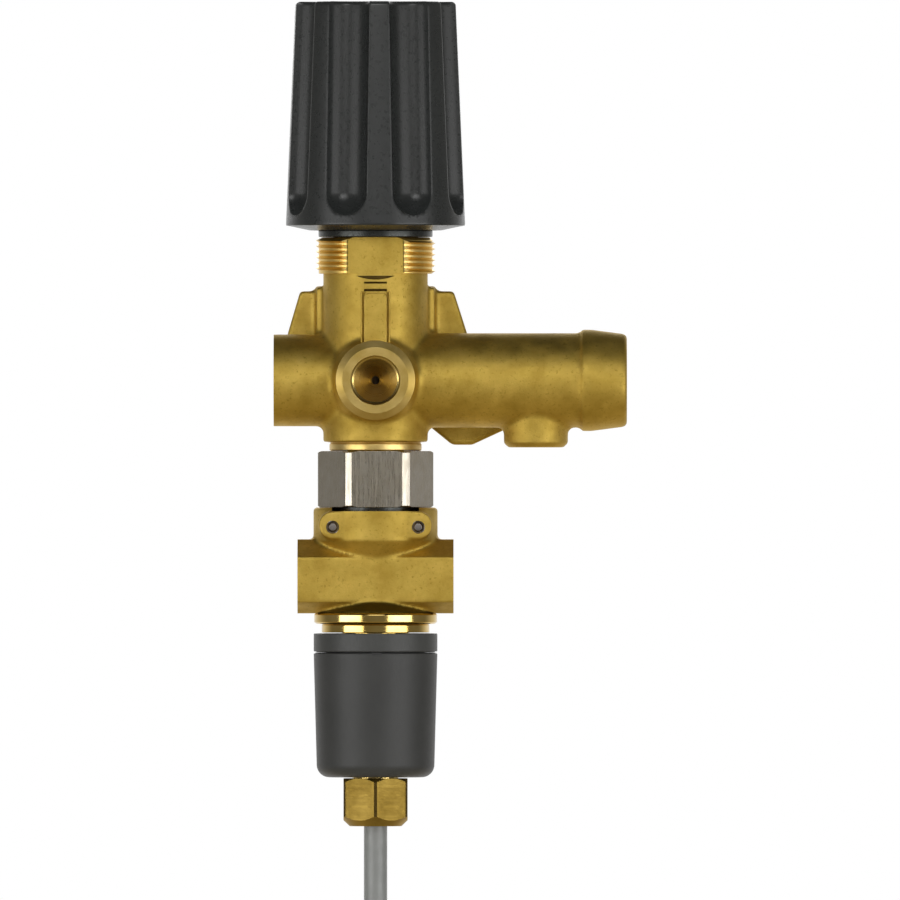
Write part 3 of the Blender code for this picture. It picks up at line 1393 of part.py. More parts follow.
def build_gland(shop):
    """The cable gland: sleeve through the cap, rubber seal, nut, and the lead's end inside."""
    tube_low = FLANGE_SEAT - GLAND_TUBE - CAP_FLOOR
    lead_hole = LEAD_RADIUS + LEAD_CLEAR
    pocket = GLAND_SEAL_RADIUS + GAP
    sleeve = turned(
        [
            (lead_hole, FLANGE_SEAT + GLAND_FLANGE),
            (lead_hole, tube_low + GLAND_SEAL_SUNK),
            (pocket, tube_low + GLAND_SEAL_SUNK),
            (pocket, tube_low),
            (GLAND_TUBE_RADIUS, tube_low),
            (GLAND_TUBE_RADIUS, FLANGE_SEAT),
            (GLAND_FLANGE_RADIUS, FLANGE_SEAT),
            (GLAND_FLANGE_RADIUS, FLANGE_SEAT + GLAND_FLANGE),
        ],
        MEDIUM,
    )
    shop.shape("gland_sleeve", sleeve, "turned_brass")
    floor = GLAND_LOW + GLAND_NUT_FLOOR
    seal = tube(
        GLAND_SEAL_RADIUS, LEAD_RADIUS + GAP, floor + GAP, tube_low + GLAND_SEAL_SUNK - GAP, SMALL
    )
    shop.shape("gland_seal", seal, "seal_rubber")
    prism = extruded(hexagon(GLAND_HEX, math.radians(30)), GLAND_LOW, GLAND_TOP)
    nut = shop.shape("gland_nut", prism, "turned_brass")
    corner_radius = GLAND_HEX / 2 / math.cos(math.pi / 6)
    margin = GLAND_CHAMFER
    limit = turned(
        [
            (0, GLAND_LOW - margin),
            (GLAND_FOOT_RADIUS - margin, GLAND_LOW - margin),
            (GLAND_FOOT_RADIUS + GLAND_CHAMFER, GLAND_LOW + GLAND_CHAMFER),
            (corner_radius + GLAND_CHAMFER, GLAND_LOW + GLAND_CHAMFER),
            (corner_radius + GLAND_CHAMFER, GLAND_TOP - GLAND_TOP_CHAMFER - GLAND_CHAMFER),
            (corner_radius - GLAND_TOP_CHAMFER, GLAND_TOP),
            (0, GLAND_TOP),
        ],
        MEDIUM,
    )
    combine(nut, [shop.shape("gland_limit_form", limit)], "INTERSECT")
    bore = turned(
        [
            (0, GLAND_LOW - margin),
            (lead_hole, GLAND_LOW - margin),
            (lead_hole, floor),
            (GLAND_TUBE_RADIUS + GAP, floor),
            (GLAND_TUBE_RADIUS + GAP, GLAND_TOP + margin),
            (0, GLAND_TOP + margin),
        ],
        MEDIUM,
    )
    cut(nut, shop.shape("gland_bore_form", bore))
    stub = rod(LEAD_RADIUS, GLAND_LOW + GAP, LEAD_TOP, SMALL)
    shop.shape("inner_lead", stub, "lead_sheath")


def lead_route():
    """The free lead: straight down, one bend to the right, and round onto the coil's upper side."""
    start = Vector((0, 0, GLAND_LOW))
    bend_top = start - UP * LEAD_STRAIGHT
    lay_radius = COIL_OUTER_RADIUS + LEAD_RADIUS + GAP
    reach = lay_radius + LEAD_BEND
    coil_centre = Vector((0, 0, bend_top.z - math.sqrt(reach**2 - LEAD_BEND**2)))
    swing = math.asin((bend_top.z - coil_centre.z) / reach)
    points = [start.lerp(bend_top, step / 3) for step in range(3)]
    bend_centre = bend_top + RIGHT * LEAD_BEND
    for step in range(7):
        angle = swing * step / 6
        points.append(bend_centre + LEAD_BEND * Vector((-math.cos(angle), 0, -math.sin(angle))))
    for step in range(1, 5):
        angle = swing - math.radians(9 * step)
        points.append(coil_centre + lay_radius * Vector((math.cos(angle), 0, math.sin(angle))))
    return points, coil_centre


def build_lead(shop):
    """The grey connection lead, its coil, the tie round the coil and the bare core ends."""
    points, centre = lead_route()
    shop.place("lead_tube", cord_curve("lead_tube", points, LEAD_RADIUS, 2), "lead_sheath")
    ring = tube(COIL_OUTER_RADIUS, COIL_INNER_RADIUS, -COIL_HALF_WIDTH, COIL_HALF_WIDTH, 40, BACK, centre)
    shop.shape("lead_coil", ring, "lead_sheath")
    inner_half = COIL_HALF_WIDTH + GAP
    outer_half = inner_half + TIE_THICKNESS
    middle = (COIL_INNER_RADIUS + COIL_OUTER_RADIUS) / 2
    reach = (COIL_OUTER_RADIUS - COIL_INNER_RADIUS) / 2 + 2 * GAP
    band = block(
        (middle - reach - TIE_THICKNESS, -outer_half, -TIE_WIDTH / 2),
        (middle + reach + TIE_THICKNESS, outer_half, TIE_WIDTH / 2),
    )
    window = block((middle - reach, -inner_half, -TIE_WIDTH), (middle + reach, inner_half, TIE_WIDTH))
    stand = Matrix.Translation(centre) @ Matrix.Rotation(-TIE_ANGLE, 4, "Y")
    band.transform(stand)
    window.transform(stand)
    tie = shop.shape("coil_tie", band, "seal_rubber")
    cut(tie, shop.shape("tie_window_form", window))


def main():
    clear_scene()
    shop = Workshop()
    build_housing(shop)
    build_seat_and_piston(shop)
    build_adjuster(shop)
    build_check_valve(shop)
    build_nipple(shop)
    build_block(shop)
    build_adapter(shop)
    build_switch_case(shop)
    build_microswitch(shop)
    build_gland(shop)
    build_lead(shop)


main()
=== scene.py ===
"""Studio scene of a high pressure regulator: an unloader valve with a pressure switch under it.

The valve axis is vertical.  The inlet barrel points to -X, the outlet barrel to +X and the gauge port
to the viewer at -Y.  Sizes are in metres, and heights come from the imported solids.
"""

from __future__ import annotations

import logging
import math
from dataclasses import dataclass, field
from enum import Enum
from typing import Iterable, Sequence

import bmesh
import bpy
from mathutils import Matrix, Vector
from mathutils.bvhtree import BVHTree
from mathutils.geometry import convex_hull_2d


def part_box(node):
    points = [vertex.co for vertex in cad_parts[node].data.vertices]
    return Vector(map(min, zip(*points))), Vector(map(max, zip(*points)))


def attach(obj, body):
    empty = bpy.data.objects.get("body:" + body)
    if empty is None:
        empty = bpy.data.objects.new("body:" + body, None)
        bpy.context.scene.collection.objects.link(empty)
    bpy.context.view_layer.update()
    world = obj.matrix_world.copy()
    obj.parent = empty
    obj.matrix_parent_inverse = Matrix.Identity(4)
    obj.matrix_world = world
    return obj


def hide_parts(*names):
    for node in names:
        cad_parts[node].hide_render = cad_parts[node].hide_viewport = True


LOG = logging.getLogger("regulator")

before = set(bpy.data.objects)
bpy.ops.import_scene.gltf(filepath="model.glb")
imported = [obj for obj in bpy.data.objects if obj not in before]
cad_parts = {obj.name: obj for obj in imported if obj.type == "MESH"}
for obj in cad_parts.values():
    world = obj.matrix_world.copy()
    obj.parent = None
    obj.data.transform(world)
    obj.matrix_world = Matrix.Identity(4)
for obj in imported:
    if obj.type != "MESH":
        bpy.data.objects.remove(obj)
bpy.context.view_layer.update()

AXIS_Y = -0.016
GAP = 0.0003
UP = Vector((0, 0, 1))
Mesh = bpy.types.Mesh
Material = bpy.types.Material
Socket = bpy.types.NodeSocket
NodeTree = bpy.types.NodeTree
Pair = tuple[float, float]
Triple = tuple[float, float, float]
Profile = Sequence[Pair]


class Body(str, Enum):
    """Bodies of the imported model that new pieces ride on."""

    VALVE = "valve"
    KNOB = "knob"
    SWITCH = "switch"


class Way(Enum):
    """Directions that a turned form or a bore points to."""

    UP = (0, 0, 1)
    DOWN = (0, 0, -1)
    LEFT = (-1, 0, 0)
    RIGHT = (1, 0, 0)
    FRONT = (0, -1, 0)
    BACK = (0, 1, 0)

    @property
    def vector(self) -> Vector:
        """The direction as a vector."""
        return Vector(self.value)

    def matrix(self, centre: Vector) -> Matrix:
        """Turns +Z to this direction and moves the origin to a centre.

        Args:
            centre: Where the turned origin lies.

        Returns:
            The placing matrix.
        """
        turn = UP.rotation_difference(self.vector).to_matrix().to_4x4()
        return Matrix.Translation(centre) @ turn


class Join(str, Enum):
    """How two closed meshes are put together."""

    ADD = "UNION"
    CUT = "DIFFERENCE"
    KEEP = "INTERSECT"


def on_axis(x: float = 0.0, z: float = 0.0) -> Vector:
    """A point in the plane that holds the valve axis and both barrels."""
    return Vector((x, AXIS_Y, z))


# Meshes


def mesh_of(points: Iterable[Sequence[float]], faces: Iterable[Sequence[int]], name: str = "form") -> Mesh:
    """Makes a closed mesh whose faces point outwards.

    Args:
        points: Corner places.
        faces: Corner numbers of each face.
        name: Name of the mesh.

    Returns:
        The mesh, with doubles merged.
    """
    mesh = bpy.data.meshes.new(name)
    mesh.from_pydata([tuple(p) for p in points], [], [tuple(f) for f in faces])
    form = bmesh.new()
    form.from_mesh(mesh)
    bmesh.ops.remove_doubles(form, verts=form.verts, dist=1e-7)
    bmesh.ops.recalc_face_normals(form, faces=form.faces)
    form.to_mesh(mesh)
    form.free()
    return mesh


def eased(profile: Profile, radius: float, steps: int = 3) -> list[Pair]:
    """Rounds the corners of a profile a little.

    Args:
        profile: Corner points, open where it starts on the axis and closed otherwise.
        radius: How far the rounding reaches along each side.
        steps: Points in each rounding, less one.

    Returns:
        The rounded profile.
    """
    closed = profile[0][0] > 1e-9
    corners = [Vector(p) for p in profile]
    rounded = [] if closed else [corners[0]]
    spread = range(len(corners)) if closed else range(1, len(corners) - 1)
    for number in spread:
        corner = corners[number]
        before = corners[number - 1] - corner
        after = corners[(number + 1) % len(corners)] - corner
        start = corner + before.normalized() * min(radius, before.length * 0.4)
        end = corner + after.normalized() * min(radius, after.length * 0.4)
        for step in range(steps + 1):
            t = step / steps
            rounded.append(start.lerp(corner, t).lerp(corner.lerp(end, t), t))
    if not closed:
        rounded.append(corners[-1])
    return [(p.x, p.y) for p in rounded]


def turned(profile: Profile, segments: int = 96, way: Way = Way.UP, centre: Vector | None = None) -> Mesh:
    """Spins a (radius, height) profile round an axis.

    Args:
        profile: Outline that leaves the axis and returns to it, or a closed ring off it.
        segments: Faces round the axis.
        way: Direction of the axis.
        centre: Point of the axis at height zero.

    Returns:
        The closed mesh.
    """
    points: list[Triple] = []
    rows: list[list[int]] = []
    for radius, height in profile:
        if radius < 1e-9:
            rows.append([len(points)] * segments)
            points.append((0, 0, height))
            continue
        rows.append(list(range(len(points), len(points) + segments)))
        for step in range(segments):
            angle = 2 * math.pi * step / segments
            points.append((radius * math.cos(angle), radius * math.sin(angle), height))
    if profile[0][0] > 1e-9:
        rows.append(rows[0])
    faces = []
    for low, high in zip(rows, rows[1:]):
        for step in range(segments):
            ahead = (step + 1) % segments
            corners = list(dict.fromkeys((low[step], low[ahead], high[ahead], high[step])))
            if len(corners) > 2:
                faces.append(corners)
    mesh = mesh_of(points, faces)
    mesh.transform(way.matrix(centre if centre else on_axis()))
    return mesh


def rod(
    radius: float, low: float, high: float, way: Way = Way.UP, centre: Vector | None = None,
    segments: int = 64,
) -> Mesh:
    """A plain round bar, mostly used as a drill.

    Args:
        radius: Its radius.
        low: Height of its first end.
        high: Height of its other end.
        way: Direction of its axis.
        centre: Point of the axis at height zero.
        segments: Faces round it.

    Returns:
        The closed mesh.
    """
    return turned([(0, low), (radius, low), (radius, high), (0, high)], segments, way, centre)


def prism(outline: Profile, low: float, high: float, matrix: Matrix, ease: float = 0.0) -> Mesh:
    """Extrudes an outline, with its edges rounded.

    Args:
        outline: Corner points in the outline's plane.
        low: Height of the first end.
        high: Height of the second end.
        matrix: Where the extruded form goes.
        ease: Rounding of all its edges.

    Returns:
        The closed mesh.
    """
    count = len(outline)
    points = [(x, y, level) for level in (low, high) for x, y in outline]
    sides = [(k, (k + 1) % count, (k + 1) % count + count, k + count) for k in range(count)]
    mesh = mesh_of(points, [range(count), range(count, 2 * count), *sides])
    if ease:
        form = bmesh.new()
        form.from_mesh(mesh)
        sharp = [edge for edge in form.edges if edge.calc_face_angle(0) > math.radians(25)]
        bmesh.ops.bevel(
            form, geom=sharp, offset=ease, segments=3, profile=0.5, affect="EDGES", clamp_overlap=True
        )
        form.to_mesh(mesh)
        form.free()
    mesh.transform(matrix)
    return mesh


def box(low: Sequence[float], high: Sequence[float], ease: float = 0.0) -> Mesh:
    """A block between two corners."""
    return prism(rectangle(*low[:2], *high[:2]), low[2], high[2], Matrix(), ease)


def arc(centre: Pair, radius: float, start: float, end: float, steps: int) -> list[Pair]:
    """Points of a round stretch of an outline, angles in degrees.

    Args:
        centre: Middle of the round.
        radius: Its radius.
        start: Angle of the first point.
        end: Angle of the last point.
        steps: Points, less one.

    Returns:
        The points.
    """
    turns = [math.radians(start + (end - start) * step / steps) for step in range(steps + 1)]
    return [(centre[0] + radius * math.cos(t), centre[1] + radius * math.sin(t)) for t in turns]


def hexagon(across_flats: float, turn: float = 0.0, corner: float = 0.0) -> list[Pair]:
    """Outline of a hexagon with a flat towards the viewer.

    Args:
        across_flats: Spanner size.
        turn: Angle that it is turned by.
        corner: Length cut from each side for the rounded corners.

    Returns:
        The outline.
    """
    reach = across_flats / 2 / math.cos(math.pi / 6)
    corners = [
        Vector((math.cos(turn + k * math.pi / 3), math.sin(turn + k * math.pi / 3))) * reach
        for k in range(6)
    ]
    if not corner:
        return [(p.x, p.y) for p in corners]
    outline = []
    for number, point in enumerate(corners):
        start = point + (corners[number - 1] - point).normalized() * corner
        end = point + (corners[(number + 1) % 6] - point).normalized() * corner
        for step in range(9):
            t = step / 8
            place = start.lerp(point, t).lerp(point.lerp(end, t), t)
            outline.append((place.x, place.y))
    return outline


def rectangle(left: float, low: float, right: float, high: float) -> list[Pair]:
    """Outline of a rectangle."""
    return [(left, low), (right, low), (right, high), (left, high)]


def standing() -> Matrix:
    """Stands an outline up on the valve axis, so that it faces the viewer."""
    return Matrix.Translation(on_axis()) @ Matrix.Rotation(math.radians(90), 4, "X")


def mouth(radius: float, reach: float, chamfer: float = 0.0009) -> list[Pair]:
    """The last points of a drill's profile, which chamfer the mouth of a port."""
    return [(radius, reach - chamfer), (radius + 2 * chamfer, reach + chamfer), (0, reach + chamfer)]


def port_drill(
    reach: float, depth: float, radius: float, way_radius: float, way: Way,
    centre: Vector | None = None,
) -> Mesh:
    """Makes the drill of a threaded port and of the narrower way behind it.

    Args:
        reach: Distance of the port's face from the centre.
        depth: Depth of the wide part.
        radius: Radius of the wide part.
        way_radius: Radius of the way behind it.
        way: Direction that the port faces.
        centre: Point that the drill starts from, the valve's middle where none is named.

    Returns:
        The drill.
    """
    floor = reach - depth
    step = (radius - way_radius) / 2
    profile = [(0, 0), (way_radius, 0), (way_radius, floor - step), (radius, floor), *mouth(radius, reach)]
    return turned(profile, 96, way, centre)


def blend(first: float, second: float, position: float) -> float:
    """Goes smoothly from one value to another as the position goes from 0 to 1."""
    t = min(max(position, 0), 1)
    return first + (second - first) * t * t * (3 - 2 * t)


class Bench:
    """Where forms are fused, cast, cut and finished into pieces."""

    def holder(self, mesh: Mesh) -> bpy.types.Object:
        """Links a passing object that carries a mesh."""
        obj = bpy.data.objects.new("form", mesh)
        bpy.context.scene.collection.objects.link(obj)
        return obj

    def settled(self, obj: bpy.types.Object, *others: bpy.types.Object) -> Mesh:
        """Bakes the modifiers of a passing object into a mesh and removes the objects.

        Args:
            obj: The object to bake.
            others: Tools that it used.

        Returns:
            The baked mesh.
        """
        graph = bpy.context.evaluated_depsgraph_get()
        graph.update()
        mesh = bpy.data.meshes.new_from_object(obj.evaluated_get(graph), depsgraph=graph)
        for used in (obj, *others):
            bpy.data.objects.remove(used)
        return mesh

    def fuse(self, base: Mesh, tools: Sequence[Mesh], how: Join) -> Mesh:
        """Adds, cuts or keeps closed meshes.

        Args:
            base: The mesh that is worked on.
            tools: The meshes that work on it.
            how: Whether they are added, cut away or limit it.

        Returns:
            The new mesh.
        """
        obj = self.holder(base)
        holders = [self.holder(tool) for tool in tools]
        for tool in holders:
            modifier = obj.modifiers.new("join", "BOOLEAN")
            modifier.operation = how.value
            modifier.solver = "MANIFOLD"
            modifier.object = tool
        return self.settled(obj, *holders)

    def cast(self, forms: Sequence[Mesh], voxel: float, fillet: float) -> Mesh:
        """Melts overlapping forms into one skin with rounded inner corners, as a forging has.

        Args:
            forms: Closed meshes that overlap.
            voxel: Fineness of the skin.
            fillet: Radius of the inner corners.

        Returns:
            The skin.
        """
        whole = bmesh.new()
        for form in forms:
            whole.from_mesh(form)
        mesh = bpy.data.meshes.new("casting")
        whole.to_mesh(mesh)
        whole.free()
        obj = self.holder(mesh)
        for strength in (fillet, -fillet):
            remesh = obj.modifiers.new("skin", "REMESH")
            remesh.mode = "VOXEL"
            remesh.voxel_size = voxel
            shift = obj.modifiers.new("swell", "DISPLACE")
            shift.mid_level = 0
            shift.strength = strength
        smooth = obj.modifiers.new("ease", "SMOOTH")
        smooth.factor = 0.5
        smooth.iterations = 3
        return self.settled(obj)

    def crisp(self, mesh: Mesh, angle: float = math.radians(12)) -> None:
        """Shows the edges between machined faces, those with a material slot of their own.

        Args:
            mesh: The mesh, with its sharp edges already set.
            angle: Angle over which such an edge shows.
        """
        form = bmesh.new()
        form.from_mesh(mesh)
        for edge in form.edges:
            inner = len(edge.link_faces) == 2 and all(face.material_index for face in edge.link_faces)
            if inner and edge.calc_face_angle(0) > angle:
                edge.smooth = False
        form.to_mesh(mesh)
        form.free()

    def level(self, mesh: Mesh) -> Mesh:
        """Weighs the normals by area, so that large faces look flat beside their rounded edges."""
        obj = self.holder(mesh)
        modifier = obj.modifiers.new("level", "WEIGHTED_NORMAL")
        modifier.keep_sharp = True
        return self.settled(obj)

    def piece(
        self, name: str, mesh: Mesh, body: Body, finish: Material | None, slot: str,
        replaces: Sequence[str] = (), sharp: float = 32.0,
    ) -> bpy.types.Object:
        """Turns a mesh into a finished piece on a body.

        Args:
            name: Name of the piece.
            mesh: Its mesh, in place.
            body: Body that it rides on.
            finish: Its material, or none where the mesh has its own.
            slot: Not used.
            replaces: CAD nodes that it stands for.
            sharp: Angle in degrees over which an edge shows.

        Returns:
            The object.
        """
        if finish:
            mesh.materials.clear()
            mesh.materials.append(finish)
        mesh.shade_smooth()
        mesh.set_sharp_from_angle(angle=math.radians(sharp))
        if not finish:
            self.crisp(mesh)
        mesh = self.level(mesh)
        mesh.name = name
        obj = bpy.data.objects.new(name, mesh)
        bpy.context.scene.collection.objects.link(obj)
        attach(obj, body.value)
        if replaces:
            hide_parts(*replaces)
        LOG.info("%s on %s: %d faces", name, body.value, len(mesh.polygons))
        return obj


def machined(mesh: Mesh, tools: Sequence[Mesh], slot: int, within: float = 1.5e-5) -> None:
    """Gives the faces that lie on a tool's surface another material slot.

    Args:
        mesh: The finished mesh.
        tools: Meshes whose surfaces were machined into it.
        slot: Material slot for these faces.
        within: Largest distance that still counts.
    """
    trees = []
    for tool in tools:
        points = [v.co.copy() for v in tool.vertices]
        trees.append(BVHTree.FromPolygons(points, [tuple(p.vertices) for p in tool.polygons]))
    for face in mesh.polygons:
        for tree in trees:
            if tree.find_nearest(face.center, within)[0] is not None:
                face.material_index = slot
                break


def dress(mesh: Mesh, *finishes: Material) -> None:
    """Gives a mesh its material slots, with every face in the first."""
    mesh.materials.clear()
    for finish in finishes:
        mesh.materials.append(finish)
    for face in mesh.polygons:
        face.material_index = 0


# Finishes


class Shader:
    """The node tree of one finish."""

    def __init__(self, name: str) -> None:
        """Starts a material with a Principled shader.

        Args:
            name: Name of the material.
        """
        self.material = bpy.data.materials.new(name)
        self.material.use_nodes = True
        self.nodes = self.material.node_tree.nodes
        self.links = self.material.node_tree.links
        self.surface = self.nodes["Principled BSDF"]
        self.place = self.add("ShaderNodeTexCoord").outputs["Object"]

    def add(self, kind: str, **values: object) -> bpy.types.Node:
        """Adds a node and sets its properties."""
        node = self.nodes.new(kind)
        for key, value in values.items():
            setattr(node, key, value)
        return node

    def wire(self, source: object, target: Socket) -> None:
        """Links a socket, or sets a plain value."""
        if isinstance(source, Socket):
            self.links.new(source, target)
        else:
            target.default_value = source

    def constants(self, **values: float) -> None:
        """Sets the shader's own sockets, named with underscores for spaces."""
        for key, value in values.items():
            self.surface.inputs[key.replace("_", " ")].default_value = value

    def math(self, operation: str, first: object, second: object = 0.0) -> Socket:
        """Works out a number."""
        node = self.add("ShaderNodeMath", operation=operation)
        self.wire(first, node.inputs[0])
        self.wire(second, node.inputs[1])
        return node.outputs[0]

    def mapped(self, scale: Sequence[float] = (1, 1, 1), height: float = 0.0) -> Socket:
        """The object's own place, centred on the valve axis at a height, and stretched."""
        node = self.add("ShaderNodeMapping", vector_type="POINT")
        self.wire(self.place, node.inputs["Vector"])
        node.inputs["Location"].default_value = (0, -AXIS_Y * scale[1], -height * scale[2])
        node.inputs["Scale"].default_value = scale
        return node.outputs[0]

    def noise(self, size: float, detail: float = 2.0, rough: float = 0.5, where: object = None) -> Socket:
        """Noise whose lumps are about as large as the size in metres.

        Args:
            size: Size of a lump.
            detail: Finer layers in it.
            rough: Strength of the finer layers.
            where: Coordinates, or none for the object's own.

        Returns:
            The noise, from 0 to 1.
        """
        node = self.add("ShaderNodeTexNoise")
        self.wire(where if where is not None else self.place, node.inputs["Vector"])
        node.inputs["Scale"].default_value = 1 / size
        node.inputs["Detail"].default_value = detail
        node.inputs["Roughness"].default_value = rough
        return node.outputs[0]

    def spread(
        self, value: object, low: float, high: float, start: float = 0.0, end: float = 1.0,
    ) -> Socket:
        """Maps a value from one range to another, and holds it there.

        Args:
            value: The value.
            low: Start of its range.
            high: End of its range.
            start: Result at the start.
            end: Result at the end.

        Returns:
            The result.
        """
        node = self.add("ShaderNodeMapRange")
        self.wire(value, node.inputs["Value"])
        for key, number in (("From Min", low), ("From Max", high), ("To Min", start), ("To Max", end)):
            node.inputs[key].default_value = number
        return node.outputs[0]

    def tint(self, factor: object, first: Sequence[float], second: Sequence[float] | Socket) -> Socket:
        """Mixes two colours.

        Args:
            factor: Share of the second colour.
            first: First colour.
            second: Second colour.

        Returns:
            The mixed colour.
        """
        node = self.add("ShaderNodeMix", data_type="RGBA")
        self.wire(factor, node.inputs["Factor"])
        self.wire(first if isinstance(first, Socket) else (*first, 1), node.inputs[6])
        self.wire(second if isinstance(second, Socket) else (*second, 1), node.inputs[7])
        return node.outputs[2]

    def bump(self, height: object, depth: float, strength: float = 1.0, over: object = None) -> Socket:
        """Relief of a given depth in metres, over another relief where one is named.

        Args:
            height: The relief, from 0 to 1.
            depth: Its height.
            strength: How strongly it shows.
            over: Relief that it lies on, if any.

        Returns:
            The normal.
        """
        node = self.add("ShaderNodeBump")
        node.inputs["Distance"].default_value = depth
        node.inputs["Strength"].default_value = strength
        self.wire(height, node.inputs["Height"])
        if over is not None:
            self.wire(over, node.inputs["Normal"])
        return node.outputs[0]

    def finish(self, colour: object, roughness: object, normal: object = None) -> Material:
        """Links the results to the shader.

        Args:
            colour: Colour socket or plain colour.
            roughness: Roughness socket or number.
            normal: Normal socket, if the surface has relief.

        Returns:
            The material.
        """
        self.wire(
            colour if isinstance(colour, Socket) else (*colour, 1),
            self.surface.inputs["Base Color"],
        )
        self.wire(roughness, self.surface.inputs["Roughness"])
        if normal is not None:
            self.wire(normal, self.surface.inputs["Normal"])
        return self.material


@dataclass(frozen=True)
class ForgedBrass:
    """Blasted hot-forged brass: fine grain, olive-yellow, with darker oxide patches."""

    name: str = "forged_brass"
    bright: Triple = (0.68, 0.487, 0.110)
    dull: Triple = (0.49, 0.335, 0.060)
    grain: float = 0.00042
    depth: float = 0.00005
    roughness: float = 0.56
    # The next three fields paint shade on a flared foot: where the foot is, how dark the painted shade is
    # and how wide it fades.
    foot: tuple[float, float, float, float] | None = None
    shade_factor: float = 0.27
    shade_edge: Pair = (0.0003, 0.0008)

    def painted_shade(self, look: Shader, colour: Socket) -> Socket:
        """Paints shade on the flared foot given by its low edge, radius there, slope and height.

        Args:
            look: The finish being made.
            colour: Colour of the clean metal.

        Returns:
            The colour with the painted shade on the foot.
        """
        low, radius, slope, height = self.foot
        near, far = self.shade_edge
        parts = look.add("ShaderNodeSeparateXYZ")
        look.wire(look.mapped(), parts.inputs[0])
        x, y, z = parts.outputs
        across = look.math(
            "POWER", look.math("ADD", look.math("MULTIPLY", x, x), look.math("MULTIPLY", y, y)), 0.5
        )
        rise = look.math("SUBTRACT", z, low)
        off = look.math(
            "ABSOLUTE",
            look.math("SUBTRACT", look.math("ADD", across, look.math("MULTIPLY", rise, slope)), radius),
        )
        mask = look.math(
            "MULTIPLY", look.spread(off, near, far, 1, 0),
            look.spread(rise, height - near, height + near, 1, 0),
        )
        return look.tint(mask, colour, tuple(self.shade_factor * c for c in self.dull))

    def material(self) -> Material:
        """Builds the material.

        Returns:
            The material.
        """
        look = Shader(self.name)
        look.constants(Metallic=1.0)
        patches = look.spread(look.noise(0.009, 5, 0.62), 0.33, 0.66)
        grain = look.noise(self.grain, 2, 0.6)
        specks = look.spread(look.noise(0.0008, 3, 0.6), 0.3, 0.42)
        colour = look.tint(patches, self.dull, self.bright)
        colour = look.tint(specks, tuple(0.94 * c for c in self.dull), colour)
        # Painted shade on the flared foot, where one is given.
        if self.foot:
            colour = self.painted_shade(look, colour)
        rough = look.spread(look.noise(0.004, 3), 0.3, 0.7, self.roughness - 0.05, self.roughness + 0.07)
        waves = look.bump(look.noise(0.0055, 2), 0.00012, 0.5)
        return look.finish(colour, rough, look.bump(grain, self.depth, 0.8, waves))


@dataclass(frozen=True)
class TurnedBrass:
    """Brass cut on a lathe, with fine rings round its axis."""

    name: str
    across: Triple
    along: Triple
    bright: Triple = (0.80, 0.60, 0.24)
    dull: Triple = (0.66, 0.47, 0.15)
    height: float = 0.0
    line: float = 0.00022
    depth: float = 0.000012
    roughness: float = 0.2

    def material(self) -> Material:
        """Builds the material.

        Returns:
            The material.
        """
        look = Shader(self.name)
        look.constants(Metallic=1.0)
        mask = look.add("ShaderNodeVectorMath", operation="LENGTH")
        look.wire(look.mapped(self.across, self.height), mask.inputs[0])
        axial = look.add("ShaderNodeVectorMath", operation="DOT_PRODUCT")
        look.wire(look.place, axial.inputs[0])
        axial.inputs[1].default_value = self.along
        rings = look.add("ShaderNodeCombineXYZ")
        look.wire(mask.outputs["Value"], rings.inputs[0])
        look.wire(axial.outputs["Value"], rings.inputs[1])
        lines = look.noise(self.line, 3, 0.7, rings.outputs[0])
        patches = look.spread(look.noise(0.006, 3), 0.35, 0.7)
        rough = look.spread(lines, 0.3, 0.7, self.roughness - 0.05, self.roughness + 0.08)
        return look.finish(
            look.tint(patches, self.dull, self.bright), rough, look.bump(lines, self.depth, 0.9)
        )


@dataclass(frozen=True)
class BrushedSteel:
    """Drawn steel with faint lines along the valve axis."""

    name: str = "drawn_steel"
    bright: Triple = (0.45, 0.415, 0.355)
    dull: Triple = (0.405, 0.365, 0.295)
    roughness: float = 0.27

    def material(self) -> Material:
        """Builds the material.

        Returns:
            The material.
        """
        look = Shader(self.name)
        look.constants(Metallic=1.0)
        lines = look.noise(0.00035, 3, 0.65, look.mapped((1, 1, 0.05)))
        stains = look.spread(look.noise(0.004, 4, 0.65), 0.38, 0.66)
        rough = look.spread(lines, 0.3, 0.7, self.roughness - 0.05, self.roughness + 0.1)
        return look.finish(
            look.tint(stains, self.dull, self.bright), rough, look.bump(lines, 0.000003, 0.6)
        )


@dataclass(frozen=True)
class PlainMetal:
    """Steel or dark metal with a light mottling."""

    name: str
    colour: Triple
    roughness: float
    metallic: float = 1.0
    grain: float = 0.0006

    def material(self) -> Material:
        """Builds the material.

        Returns:
            The material.
        """
        look = Shader(self.name)
        look.constants(Metallic=self.metallic)
        mottle = look.noise(self.grain * 5, 4, 0.6)
        colour = look.tint(mottle, tuple(0.8 * c for c in self.colour), self.colour)
        rough = look.spread(
            look.noise(self.grain, 2), 0.3, 0.7, self.roughness - 0.05, self.roughness + 0.06
        )
        return look.finish(colour, rough, look.bump(look.noise(self.grain, 2), 0.00001, 0.6))


@dataclass(frozen=True)
class Moulding:
    """Moulded plastic or rubber with a fine spark-eroded texture."""

    name: str
    colour: Triple
    roughness: float
    grain: float = 0.00035
    depth: float = 0.00002

    def material(self) -> Material:
        """Builds the material.

        Returns:
            The material.
        """
        look = Shader(self.name)
        look.constants(Metallic=0.0, Specular_IOR_Level=0.5)
        cloud = look.spread(look.noise(0.012, 3), 0.35, 0.7)
        grain = look.noise(self.grain, 2, 0.6)
        colour = look.tint(cloud, tuple(0.9 * c for c in self.colour), tuple(1.06 * c for c in self.colour))
        rough = look.spread(grain, 0.3, 0.7, self.roughness - 0.04, self.roughness + 0.07)
        return look.finish(colour, rough, look.bump(grain, self.depth, 0.7))


